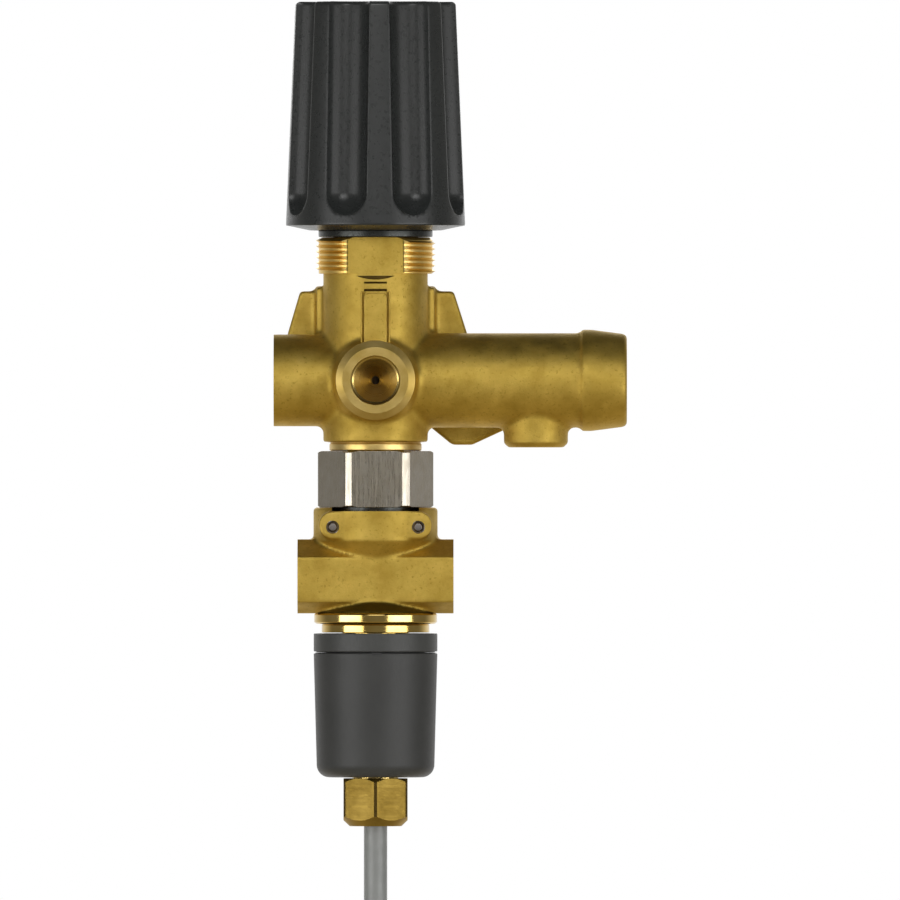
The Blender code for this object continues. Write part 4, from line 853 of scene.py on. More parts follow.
@dataclass(frozen=True)
class Sheath:
    """Grey cable sheath, slightly glossy, with fine draw lines along its length."""

    name: str
    colour: Triple
    roughness: float = 0.38

    def material(self) -> Material:
        """Builds the material.

        Returns:
            The material.
        """
        look = Shader(self.name)
        look.constants(Metallic=0.0, Coat_Weight=0.15, Coat_Roughness=0.3)
        dust = look.spread(look.noise(0.006, 4, 0.6), 0.35, 0.7)
        colour = look.tint(
            dust, tuple(0.9 * c for c in self.colour), tuple(min(1.05 * c, 1) for c in self.colour)
        )
        rough = look.spread(look.noise(0.0009, 3), 0.3, 0.7, self.roughness - 0.05, self.roughness + 0.08)
        return look.finish(colour, rough, look.bump(look.noise(0.0012, 2), 0.00002, 0.5))


def coat(look: object) -> object:
    """A field that holds the material of one finish."""
    return field(default_factory=look.material)


@dataclass
class Finishes:
    """Every finish of the object, made once."""

    forged: Material = coat(ForgedBrass())
    turned_x: Material = coat(TurnedBrass("turned_brass_x", (0, 1, 1), (1, 0, 0)))
    turned_y: Material = coat(
        TurnedBrass(
            "turned_brass_y", (1, 0, 1), (0, 1, 0), (0.62, 0.455, 0.16), (0.48, 0.335, 0.09), roughness=0.42
        )
    )
    bore_y: Material = coat(
        TurnedBrass(
            "bored_brass_y",
            (1, 0, 1), (0, 1, 0), (0.64, 0.48, 0.18), (0.50, 0.36, 0.11),
            line=0.0004, roughness=0.28,
        )
    )
    turned_z: Material = coat(
        TurnedBrass(
            "turned_brass_z", (1, 1, 0), (0, 0, 1), (0.72, 0.52, 0.18), (0.58, 0.40, 0.11), roughness=0.1
        )
    )
    faced_z: Material = coat(TurnedBrass("faced_brass_z", (1, 1, 0), (0, 0, 1), roughness=0.34))
    nut_z: Material = coat(
        TurnedBrass(
            "nut_brass",
            (1, 1, 0), (0, 0, 1), (0.48, 0.33, 0.075), (0.32, 0.21, 0.04),
            line=0.0006, roughness=0.5,
        )
    )
    return_x: Material = coat(TurnedBrass("return_brass_x", (0, 1, 1), (1, 0, 0), height=-0.0537))
    # Dark brass: painted shade in the block's pin holes.
    hole_shade: Material = coat(
        TurnedBrass(
            "hole_shade_brass", (1, 1, 0), (0, 1, 0), (0.30, 0.20, 0.06), (0.20, 0.13, 0.04), roughness=0.4
        )
    )
    thread: Material = coat(
        TurnedBrass(
            "thread_brass", (1, 1, 0), (0, 0, 1), (0.97, 0.72, 0.26), (0.88, 0.61, 0.17), roughness=0.34
        )
    )
    # Very dark forged brass: painted shade in the housing's recesses and down the gland nut's corners.
    painted_shade: Material = coat(ForgedBrass("painted_shade_brass", (0.13, 0.085, 0.022), (0.08, 0.052, 0.013)))
    steel: Material = coat(BrushedSteel())
    pin_steel: Material = coat(PlainMetal("pin_steel", (0.32, 0.29, 0.27), 0.34))
    spring: Material = coat(PlainMetal("spring_steel", (0.30, 0.30, 0.31), 0.3))
    black_steel: Material = coat(PlainMetal("black_steel", (0.045, 0.048, 0.045), 0.3, 0.7))
    knob: Material = coat(Moulding("knob_plastic", (0.0175, 0.019, 0.0182), 0.29, 0.0012, 0.000002))
    case: Material = coat(Moulding("case_plastic", (0.033, 0.0335, 0.032), 0.46))
    case_base: Material = coat(Moulding("case_base_plastic", (0.044, 0.045, 0.042), 0.44))
    rubber: Material = coat(Moulding("seal_rubber", (0.018, 0.018, 0.018), 0.6))
    white: Material = coat(Moulding("white_plastic", (0.8, 0.79, 0.74), 0.4))
    sheath: Material = coat(Sheath("grey_sheath", (0.225, 0.23, 0.218)))
    brown_core: Material = coat(Sheath("brown_core", (0.12, 0.045, 0.02)))
    blue_core: Material = coat(Sheath("blue_core", (0.03, 0.10, 0.36)))
    black_core: Material = coat(Sheath("black_core", (0.02, 0.02, 0.02)))


# Node tree of the thread ridges


@dataclass(frozen=True)
class ThreadRidge:
    """A pointed ridge that follows a helix, swept by a node tree."""

    bench: Bench
    points_per_turn: int = 72
    port_pitch: float = 0.001337
    port_ridge: float = 0.00042
    port_inset: float = 0.0015

    def tree(self) -> NodeTree:
        """Builds the node tree.

        Returns:
            A geometry tree with inputs for radius, pitch, turns, height, turn of the ridge and finish.
        """
        tree = bpy.data.node_groups.new("thread_ridge", "GeometryNodeTree")
        for name, kind in (
            ("Radius", "NodeSocketFloat"),
            ("Pitch", "NodeSocketFloat"),
            ("Turns", "NodeSocketFloat"),
            ("Ridge", "NodeSocketFloat"),
            ("Facing", "NodeSocketRotation"),
            ("Finish", "NodeSocketMaterial"),
        ):
            tree.interface.new_socket(name=name, in_out="INPUT", socket_type=kind)
        tree.interface.new_socket(name="Thread", in_out="OUTPUT", socket_type="NodeSocketGeometry")
        start = tree.nodes.new("NodeGroupInput")
        end = tree.nodes.new("NodeGroupOutput")
        rise = tree.nodes.new("ShaderNodeMath")
        rise.operation = "MULTIPLY"
        helix = tree.nodes.new("GeometryNodeCurveSpiral")
        helix.inputs["Resolution"].default_value = self.points_per_turn
        upright = tree.nodes.new("GeometryNodeSetCurveNormal")
        upright.mode = "Z_UP"
        point = tree.nodes.new("GeometryNodeCurvePrimitiveCircle")
        point.inputs["Resolution"].default_value = 3
        aim = tree.nodes.new("GeometryNodeTransform")
        sweep = tree.nodes.new("GeometryNodeCurveToMesh")
        sweep.inputs["Fill Caps"].default_value = True
        real = tree.nodes.new("GeometryNodeRealizeInstances")
        coat = tree.nodes.new("GeometryNodeSetMaterial")
        for source, target in (
            (start.outputs["Pitch"], rise.inputs[0]),
            (start.outputs["Turns"], rise.inputs[1]),
            (start.outputs["Turns"], helix.inputs["Rotations"]),
            (start.outputs["Radius"], helix.inputs["Start Radius"]),
            (start.outputs["Radius"], helix.inputs["End Radius"]),
            (rise.outputs[0], helix.inputs["Height"]),
            (helix.outputs[0], upright.inputs["Curve"]),
            (start.outputs["Ridge"], point.inputs["Radius"]),
            (point.outputs["Curve"], aim.inputs["Geometry"]),
            (start.outputs["Facing"], aim.inputs["Rotation"]),
            (upright.outputs[0], sweep.inputs["Curve"]),
            (aim.outputs[0], sweep.inputs["Profile Curve"]),
            (sweep.outputs[0], real.inputs[0]),
            (real.outputs[0], coat.inputs["Geometry"]),
            (start.outputs["Finish"], coat.inputs["Material"]),
            (coat.outputs[0], end.inputs[0]),
        ):
            tree.links.new(source, target)
        return tree

    def cut(
        self, tree: NodeTree, root: float, pitch: float, length: float, height: float,
        outside: bool, finish: Material,
    ) -> Mesh:
        """Sweeps one thread along +Z from height zero.

        Args:
            tree: The node tree.
            root: Radius of the wall that the ridge stands on.
            pitch: Rise in one turn.
            length: Threaded length.
            height: How far the ridge stands proud of the wall.
            outside: True on a shank, false in a bore.
            finish: The thread's material.

        Returns:
            The ridge as a plain mesh.
        """
        side = 1 if outside else -1
        ridge = height / 1.35
        values = {
            "Radius": root + side * ridge * 0.35,
            "Pitch": pitch,
            "Turns": length / pitch,
            "Ridge": ridge,
            "Facing": (0, 0, math.pi if outside else 0),
            "Finish": finish,
        }
        blank = bpy.data.meshes.new("thread")
        obj = self.bench.holder(blank)
        modifier = obj.modifiers.new("thread", "NODES")
        modifier.node_group = tree
        for item in tree.interface.items_tree:
            if item.name in values:
                modifier[item.identifier] = values[item.name]
        mesh = self.bench.settled(obj)
        form = bmesh.new()
        form.from_mesh(mesh)
        bmesh.ops.recalc_face_normals(form, faces=form.faces)
        form.to_mesh(mesh)
        form.free()
        return mesh

    def in_port(
        self, tree: NodeTree, radius: float, length: float, reach: float, way: Way,
        finish: Material, height: float = 0.0,
    ) -> Mesh:
        """Sweeps the thread of a port, from a little below its face.

        Args:
            tree: The node tree.
            radius: Radius of the port.
            length: Threaded length.
            reach: Distance of the port's face from the valve axis.
            way: Direction that the port faces.
            finish: The thread's material.
            height: Height of the port's middle.

        Returns:
            The thread, in place.
        """
        mesh = self.cut(tree, radius, self.port_pitch, length, self.port_ridge, False, finish)
        start = Matrix.Translation((0, 0, reach - length - self.port_inset))
        mesh.transform(way.matrix(on_axis(0, height)) @ start)
        return mesh


# Sub-assemblies


@dataclass
class Studio:
    """Camera, lamps, floor and white surround."""

    lens: float = 1600.0
    eye: Triple = (0.0201, -10.816, -0.0188)
    floor_radius: float = 2.2
    ambient: float = 0.15
    front_level: float = 0.21
    top_level: float = 0.01
    low_share: float = 1.8
    warm: Triple = (1.0, 0.8, 0.4)

    def camera(self) -> None:
        """Puts the camera level with the middle of the picture."""
        data = bpy.data.cameras.new("camera")
        data.lens = self.lens
        data.sensor_width = 36.0
        data.clip_end = 50.0
        obj = bpy.data.objects.new("camera", data)
        obj.location = self.eye
        obj.rotation_euler = (math.radians(90), 0, 0)
        bpy.context.scene.collection.objects.link(obj)
        bpy.context.scene.camera = obj

    def softbox(
        self, name: str, azimuth: float, height: float, distance: float, size: Pair,
        power: float, mirrored: bool = True,
    ) -> None:
        """Hangs one soft lamp that faces the object.

        Args:
            name: Name of the lamp.
            azimuth: Degrees round the object, 0 in front and 90 at +X.
            height: Height of its middle over the barrels.
            distance: Level distance from the valve axis.
            size: Width and height.
            power: Power in watts.
            mirrored: Whether metal shows it.
        """
        data = bpy.data.lights.new(name, "AREA")
        data.shape = "RECTANGLE"
        data.size, data.size_y = size
        data.energy = power
        turn = math.radians(azimuth)
        back = Vector((math.sin(turn) * distance, -math.cos(turn) * distance, height))
        obj = bpy.data.objects.new(name, data)
        obj.location = on_axis() + back
        obj.rotation_euler = back.to_track_quat("Z", "Y").to_euler()
        obj.visible_glossy = mirrored
        bpy.context.scene.collection.objects.link(obj)

    def surround(self) -> None:
        """Makes the world white behind the object, dim in front and dark overhead."""
        world = bpy.data.worlds.new("surround")
        bpy.context.scene.world = world
        world.use_nodes = True
        nodes, links = world.node_tree.nodes, world.node_tree.links
        sky = nodes["Background"]
        ray = nodes.new("ShaderNodeLightPath")
        way = nodes.new("ShaderNodeTexCoord")
        split = nodes.new("ShaderNodeSeparateXYZ")
        links.new(way.outputs["Generated"], split.inputs[0])

        def spread(source: Socket, low: float, high: float, start: float, end: float) -> Socket:
            """Maps a direction's part to a brightness.

            Args:
                source: Part of the direction.
                low: Start of its range.
                high: End of its range.
                start: Brightness at the start.
                end: Brightness at the end.

            Returns:
                The brightness.
            """
            node = nodes.new("ShaderNodeMapRange")
            node.interpolation_type = "SMOOTHSTEP"
            links.new(source, node.inputs["Value"])
            for key, number in (("From Min", low), ("From Max", high), ("To Min", start), ("To Max", end)):
                node.inputs[key].default_value = number
            return node.outputs[0]

        def combine(operation: str, first: object, second: object) -> Socket:
            """Works out a brightness from two.

            Args:
                operation: What is done with them.
                first: First brightness.
                second: Second brightness.

            Returns:
                The result.
            """
            node = nodes.new("ShaderNodeMath")
            node.operation = operation
            for socket, value in zip(node.inputs, (first, second)):
                if isinstance(value, Socket):
                    links.new(value, socket)
                else:
                    socket.default_value = value
            return node.outputs[0]

        behind = spread(split.outputs["Y"], 0.25, 0.98, 0.0, 1.0)
        front = combine(
            "MULTIPLY", spread(split.outputs["Z"], 0.15, 0.8, self.front_level, self.top_level),
            spread(split.outputs["Z"], -0.75, -0.1, self.low_share, 1.0),
        )
        mirrored = combine(
            "ADD", front, combine("MULTIPLY", behind, spread(split.outputs["Z"], 0.1, 0.6, 0.75, 0.25))
        )
        glossy = combine("MAXIMUM", ray.outputs["Is Glossy Ray"], ray.outputs["Is Transmission Ray"])
        soft = combine(
            "ADD", combine("MULTIPLY", mirrored, glossy),
            combine("MULTIPLY", self.ambient, combine("SUBTRACT", 1.0, glossy)),
        )
        clear = combine("MAXIMUM", soft, ray.outputs["Is Camera Ray"])
        warmth = nodes.new("ShaderNodeMix")
        warmth.data_type = "RGBA"
        below = spread(split.outputs["Z"], -0.6, -0.1, 1.0, 0.15)
        links.new(
            combine("MULTIPLY", combine("MULTIPLY", glossy, below), combine("SUBTRACT", 1.0, behind)),
            warmth.inputs["Factor"],
        )
        warmth.inputs[6].default_value = (1, 1, 1, 1)
        warmth.inputs[7].default_value = (*self.warm, 1)
        links.new(warmth.outputs[2], sky.inputs["Color"])
        links.new(clear, sky.inputs["Strength"])

    def floor(self, height: float) -> None:
        """Lays the pale floor that the coil stands on.

        Args:
            height: Level of the floor.
        """
        mesh = turned(
            [(0, -0.01), (self.floor_radius, -0.01), (self.floor_radius, 0), (0, 0)], 128, Way.UP,
            Vector((0, 0, height)),
        )
        look = Shader("studio_floor")
        tone = look.spread(look.noise(0.4, 2), 0.3, 0.7, 0.0, 1.0)
        mesh.materials.append(look.finish(look.tint(tone, (0.80, 0.80, 0.80), (0.84, 0.84, 0.84)), 0.7))
        obj = bpy.data.objects.new("studio_floor", mesh)
        obj.visible_glossy = False
        bpy.context.scene.collection.objects.link(obj)

    def build(self) -> None:
        """Sets the view, the lamps and the surround."""
        scene = bpy.context.scene
        scene.view_settings.view_transform = "Standard"
        self.camera()
        self.surround()
        self.softbox("left_softbox", -49, -0.08, 1.3, (1.05, 0.32), 4.6)
        self.softbox("right_softbox", 47.5, -0.08, 1.3, (1.13, 0.32), 5.0)
        self.softbox("front_softbox", 0, 0.64, 1.5, (0.84, 0.5), 5.6)
        self.softbox("back_softbox", 180, 0.5, 1.6, (1.2, 0.8), 6.0)
        self.softbox("overhead_lamp", 0, 1.6, 0.01, (1.4, 1.4), 30.0, mirrored=False)
        self.floor(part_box("lead_coil")[0].z - 0.0002)


@dataclass
class ConnectionLead:
    """The grey lead: down from the gland, one bend, and a flat coil of three turns in two layers."""

    bench: Bench
    finishes: Finishes
    radius: float = 0.00315
    straight: float = 0.026
    bend: float = 0.026
    coil_inner: float = 0.0247
    turns: int = 3
    step: float = 9.0
    layer_window: Pair = (36.0, 106.0)
    end_angle: float = 1771.0
    tie_angle: float = math.radians(118)
    tie_width: float = 0.0045
    tie_thickness: float = 0.0012
    tie_play: float = 0.0001
    core_length: float = 0.016
    core_radius: float = 0.0009
    bend_steps: int = 24
    layer_lag: float = 20.0
    layer_run: float = 130.0
    sleeve: Profile = (
        (0, -0.0015), (0.0012, -0.0015), (0.0011, 0), (0.0007, 0.0004), (0.0007, 0.005), (0, 0.005),
    )

    def route(self) -> tuple[list[Vector], Vector, float]:
        """Works out the middle line of the lead.

        Returns:
            The points, the coil's centre and the angle at which the lead meets the coil, in degrees.
        """
        start = on_axis(0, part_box("gland_nut")[0].z)
        top = start - UP * self.straight
        outer = self.coil_inner + 2 * self.radius * self.turns
        lay = outer + self.radius + GAP
        reach = lay + self.bend
        centre = on_axis(0, top.z - math.sqrt(reach**2 - self.bend**2))
        swing = math.asin((top.z - centre.z) / reach)
        points = [start.lerp(top, number / 6) for number in range(6)]
        bend_centre = top + Vector((self.bend, 0, 0))
        for number in range(self.bend_steps + 1):
            angle = swing * number / self.bend_steps
            points.append(bend_centre + self.bend * Vector((-math.cos(angle), 0, -math.sin(angle))))
        turned_by = self.step
        while turned_by <= self.end_angle:
            points.append(self.on_coil(centre, math.degrees(swing), turned_by, lay))
            turned_by += self.step
        return points, centre, math.degrees(swing)

    def on_coil(self, centre: Vector, start: float, turned_by: float, lay: float) -> Vector:
        """A point of the coil after the lead has gone round by an angle.

        Args:
            centre: Middle of the coil.
            start: Angle at which the lead meets the coil, in degrees.
            turned_by: How far it has gone round since, in degrees.
            lay: Radius at which it first lies on the coil.

        Returns:
            The point.
        """
        low, high = self.layer_window
        width = 2 * self.radius
        outermost = self.coil_inner + width * self.turns - self.radius
        radius = blend(lay, outermost, (turned_by - low) / (high - low))
        shifts = self.turns - 1
        for number in range(shifts):
            inward = low + 360 * (number + 1)
            outward = low + 360 * (number + self.turns)
            radius -= blend(0, width, (turned_by - inward) / (high - low))
            radius += blend(0, width, (turned_by - outward) / (high - low))
        crossing = high + 360 * shifts + self.layer_lag
        depth = blend(-self.radius, self.radius, (turned_by - crossing) / self.layer_run)
        depth = blend(0, depth, turned_by / low) if turned_by < low else depth
        angle = math.radians(start - turned_by)
        return centre + Vector((radius * math.cos(angle), depth, radius * math.sin(angle)))

    def curve(
        self, name: str, points: Sequence[Vector], radius: float, finish: Material,
    ) -> bpy.types.Object:
        """Makes a round cord along points.

        Args:
            name: Name of the object.
            points: Its middle line.
            radius: Its radius.
            finish: Its material.

        Returns:
            The curve object.
        """
        data = bpy.data.curves.new(name, "CURVE")
        data.dimensions = "3D"
        spline = data.splines.new("POLY")
        spline.points.add(len(points) - 1)
        for point, place in zip(spline.points, points):
            point.co = (*place, 1)
            point.radius = 1
        spline.use_smooth = True
        data.bevel_depth = radius
        data.bevel_resolution = 6
        data.use_fill_caps = True
        data.materials.append(finish)
        obj = bpy.data.objects.new(name, data)
        bpy.context.scene.collection.objects.link(obj)
        return obj

    def tie(self, centre: Vector, start: float) -> bpy.types.Object:
        """Makes the strap, pulled tight round the strands that pass it.

        Args:
            centre: Middle of the coil.
            start: Angle at which the lead meets the coil, in degrees.

        Returns:
            The strap.
        """
        lay = self.coil_inner + self.radius * (2 * self.turns + 1) + GAP
        strands = []
        turned_by = (start - math.degrees(self.tie_angle)) % 360
        while turned_by <= self.end_angle:
            place = self.on_coil(centre, start, turned_by, lay) - centre
            strands.append(Vector((math.hypot(place.x, place.z), place.y)))
            turned_by += 360

        def loop(reach: float) -> list[Pair]:
            """The outline that a band takes round all strands.

            Args:
                reach: Distance from the strands' middles.

            Returns:
                The outline.
            """
            rims = [
                strand + reach * Vector((math.cos(math.pi * step / 16), math.sin(math.pi * step / 16)))
                for strand in strands
                for step in range(32)
            ]
            return [tuple(rims[number]) for number in convex_hull_2d(rims)]

        stand = Matrix.Translation(centre) @ Matrix.Rotation(-self.tie_angle, 4, "Y")
        band = prism(
            loop(self.radius + self.tie_play + self.tie_thickness), -self.tie_width / 2,
            self.tie_width / 2, stand, 0.0003,
        )
        window = prism(loop(self.radius + self.tie_play), -self.tie_width, self.tie_width, stand)
        ring = self.bench.fuse(band, [window], Join.CUT)
        return self.bench.piece(
            "coil_strap", ring, Body.SWITCH, self.finishes.rubber, "seal_rubber", ["coil_tie"]
        )

    def cores(self, end: Vector, ahead: Vector) -> list[bpy.types.Object]:
        """Makes the three insulated cores that leave the sheath, each with its crimped sleeve.

        Args:
            end: End of the sheath.
            ahead: Direction of the lead there.

        Returns:
            The cores and their sleeves.
        """
        made = []
        across = ahead.cross(Vector((0, 1, 0))).normalized()
        for number, finish in enumerate(
            (self.finishes.brown_core, self.finishes.blue_core, self.finishes.black_core)
        ):
            angle = 2 * math.pi * number / 3
            side = across * math.cos(angle) + Vector((0, 1, 0)) * math.sin(angle)
            route = [
                end - ahead * 0.002 + side * self.core_radius * 1.25,
                end + ahead * self.core_length * 0.4 + side * self.core_radius * 1.5,
                end + ahead * self.core_length * 0.8 + side * self.core_radius * 2.1,
            ]
            shape = self.curve(f"lead_core_{number + 1}", route, self.core_radius, finish)
            mesh = bpy.data.meshes.new_from_object(shape)
            bpy.data.objects.remove(shape)
            core = self.bench.piece(f"lead_core_{number + 1}", mesh, Body.SWITCH, finish, "core_brown")
            line = (route[2] - route[1]).normalized()
            turn = UP.rotation_difference(line).to_matrix().to_4x4()
            sleeve = turned(eased(self.sleeve, 0.0001), 24)
            sleeve.transform(Matrix.Translation(route[2]) @ turn @ Matrix.Translation(-on_axis()))
            crimp = self.bench.piece(
                f"core_sleeve_{number + 1}", sleeve, Body.SWITCH, self.finishes.pin_steel, "steel"
            )
            made += [core, crimp]
        return made

    def build(self) -> None:
        points, centre, start = self.route()
        lead = self.curve("connection_lead", points, self.radius, self.finishes.sheath)
        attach(lead, Body.SWITCH.value)
        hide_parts("lead_tube", "lead_coil")
        extras = [self.tie(centre, start), *self.cores(points[-1], (points[-1] - points[-2]).normalized())]


@dataclass
class AdjustingKnob:
    """The fluted knob, moulded hollow over the bonnet, with the disc that covers its screw."""

    bench: Bench
    finishes: Finishes
    foot_radius: float = 0.0242
    top_radius: float = 0.0216
    foot_cone: float = 0.00135
    foot_flat: float = 0.0178
    edge: float = 0.0011
    mouth: float = 0.0172
    hub: float = 0.0139
    hub_foot: float = 0.0118
    mouth_top: float = 0.0085
    screw_hole: float = 0.0032
    recess_radius: float = 0.0086
    recess: float = 0.0054
    ceiling_drop: float = 0.0207
    flutes: int = 8
    phase: float = math.radians(2.8)
    flute_radius: float = 0.0062
    flute_out: float = 0.0015
    flute_end: float = 0.0038
    soft: float = 0.00045
    edge_zone: float = math.radians(1.6)
    least_edge: float = math.radians(2.5)
    steps: tuple[int, int, int] = (5, 8, 12)
    end_rows: int = 40
    rows: int = 40

    def side_radius(self, rise: float, height: float) -> float:
        """Radius of the tapered side at a height above the foot cone."""
        return self.foot_radius + (self.top_radius - self.foot_radius) * rise / height

    def flute_reach(self, rise: float) -> float:
        """Radius of the flute at a height above the foot, nothing below its round end."""
        centre = self.flute_end + self.flute_radius
        if rise >= centre:
            return self.flute_radius
        return math.sqrt(max(self.flute_radius**2 - (centre - rise) ** 2, 0))

    def fluted(self, side: float, off: float, reach: float) -> float:
        """Radius of the knob's skin with the flutes cut in.

        Args:
            side: Radius of the side without flutes.
            off: Angle from the middle of the nearest flute.
            reach: Radius of the flute at this height.

        Returns:
            The radius.
        """
        if reach < self.flute_out - self.soft:
            return side
        distance = side + self.flute_out
        chord = reach**2 - (distance * math.sin(off)) ** 2
        if chord <= 0:
            wall = side + distance * math.sin(off) - reach
        else:
            wall = distance * math.cos(off) - math.sqrt(chord)
        closeness = max(self.soft - abs(side - wall), 0) / self.soft
        return min(side, wall) - closeness * closeness * self.soft / 4

    def columns(self, side: float, reach: float) -> list[Pair]:
        """Spreads the points of one row, close together where a flute meets a land.

        Args:
            side: Radius of the side without flutes.
            reach: Radius of the flute at this height.

        Returns:
            Pairs of angle round the knob and angle from the middle of the nearest flute.
        """
        distance = side + self.flute_out
        edge = 0.0
        if reach > self.flute_out:
            edge = math.acos((distance**2 + side**2 - reach**2) / (2 * distance * side))
        edge = max(edge, self.least_edge)
        half = math.pi / self.flutes
        stops = (half, edge + self.edge_zone, edge - self.edge_zone, 0.0)
        falling = [
            stops[part] + (stops[part + 1] - stops[part]) * number / count
            for part, count in enumerate(self.steps)
            for number in range(count)
        ]
        falling.append(0.0)
        offs = [-off for off in falling] + falling[-2:0:-1]
        spread = []
        for flute in range(self.flutes):
            middle = 2 * half * (flute + 0.5) + self.phase
            spread += [(middle + off, abs(off)) for off in offs]
        return spread

    def body(self, low: float, high: float) -> Mesh:
        """Builds the knob from rows of points.

        Args:
            low: Height of its foot.
            high: Height of its top.

        Returns:
            The closed mesh.
        """
        height = high - low
        top = height - self.edge
        turns = [angle for angle, _ in self.columns(self.foot_radius, 0)]

        def skin(rise: float, shrink: float = 0.0, lift: float = 0.0) -> list[Triple]:
            """One row of the fluted skin.

            Args:
                rise: Height over the foot.
                shrink: How far it lies inside the skin.
                lift: How far it lies over its height.

            Returns:
                Angle, radius and height of each point.
            """
            side = self.side_radius(max(rise - self.foot_cone, 0), height)
            reach = self.flute_reach(rise)
            return [
                (angle, self.fluted(side, off, reach) - shrink, rise + lift)
                for angle, off in self.columns(side, reach)
            ]

        def plain(radius: float, rise: float) -> list[Triple]:
            """One round row."""
            return [(angle, radius, rise) for angle in turns]

        foot = skin(self.foot_cone)
        rows = [plain(self.mouth, 0), plain(self.foot_flat, 0)]
        for number in range(1, 8):
            t = number / 8
            rows.append(
                [
                    (angle, self.foot_flat + (r - self.foot_flat) * t, self.foot_cone * t)
                    for angle, r, _ in foot
                ]
            )
        for number in range(5):
            t = number / 4
            rows.append(skin(self.foot_cone * (0.97 + 0.4 * t), 0.00012 * (1 - t) ** 2))
        ends = self.flute_end + 0.0001
        rises = [self.foot_cone * 1.5 + (ends - self.foot_cone * 1.5) * number / 5 for number in range(5)]
        rises += [
            ends + self.flute_radius * (number / self.end_rows) ** 1.6
            for number in range(self.end_rows)
        ]
        start = ends + self.flute_radius
        rises += [start + (top - start) * number / self.rows for number in range(self.rows + 1)]
        rows += [skin(rise) for rise in rises]
        for number in range(1, 7):
            angle = math.pi / 2 * number / 6
            rows.append(skin(top, self.edge * (1 - math.cos(angle)), self.edge * math.sin(angle)))
        brim = rows[-1]
        rim = self.recess_radius + 0.0004
        for number in range(1, 5):
            rows.append([(angle, r + (rim - r) * number / 5, height) for angle, r, _ in brim])
        ceiling = height - self.ceiling_drop
        inner = [
            (rim, height), (self.recess_radius + 0.0001, height - 0.0001),
            (self.recess_radius, height - 0.0004), (self.recess_radius, height - self.recess),
            (self.screw_hole, height - self.recess), (self.screw_hole, ceiling), (self.hub, ceiling),
            (self.hub, self.hub_foot), (self.mouth, self.mouth_top),
        ]
        rows += [plain(radius, rise) for radius, rise in inner]
        points = [
            on_axis(radius * math.cos(angle), low + rise) + Vector((0, radius * math.sin(angle), 0))
            for row in rows
            for angle, radius, rise in row
        ]
        around = len(turns)
        faces = []
        for number in range(len(rows)):
            here, above = number * around, (number + 1) % len(rows) * around
            for k in range(around):
                ahead = (k + 1) % around
                faces.append((here + k, here + ahead, above + ahead, above + k))
        return mesh_of(points, faces)

    def cover(self) -> Mesh:
        """Builds the dished disc over the knob's screw.

        Returns:
            The closed mesh.
        """
        low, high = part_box("knob_cover")
        radius = (high.x - low.x) / 2
        profile = [
            (0, low.z), (radius, low.z), (radius, high.z - 0.0003), (radius - 0.0004, high.z),
            (radius * 0.8, high.z - 0.0002), (0, high.z - 0.0005),
        ]
        return turned(eased(profile, 0.0003), 96)

    def build(self) -> None:
        """Makes the knob and its cover."""
        low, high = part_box("adjusting_knob")
        self.bench.piece(
            "fluted_knob", self.body(low.z, high.z), Body.KNOB, self.finishes.knob, "knob_plastic",
            ["adjusting_knob"], 50,
        )
        self.bench.piece(
            "knob_disc", self.cover(), Body.KNOB, self.finishes.knob, "knob_plastic", ["knob_cover"]
        )


@dataclass
class SpringBonnet:
    """The blackened steel bonnet whose flange shows under the knob."""

    bench: Bench
    finishes: Finishes
    flange_radius: float = 0.0154
    flange: float = 0.0016
    radius: float = 0.0125
    bore: float = 0.0096
    skirt_radius: float = 0.0112
    skirt: float = 0.0073
    top: float = 0.006
    spindle_hole: float = 0.0053
    seam: float = 0.0002

    def build(self) -> None:
        """Turns the bonnet."""
        low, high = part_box("spring_bonnet")
        flange_low = low.z + self.skirt
        ceiling = high.z - self.top
        profile = [
            (self.spindle_hole, ceiling), (self.bore, ceiling), (self.bore, low.z),
            (self.skirt_radius, low.z), (self.skirt_radius, flange_low - self.seam),
            (self.flange_radius, flange_low - self.seam), (self.flange_radius, flange_low + self.flange),
            (self.radius, flange_low + self.flange), (self.radius, high.z), (self.spindle_hole, high.z),
        ]
        self.bench.piece(
            "black_bonnet", turned(eased(profile, 0.0003), 128), Body.VALVE, self.finishes.black_steel,
            "black_steel", ["spring_bonnet"],
        )


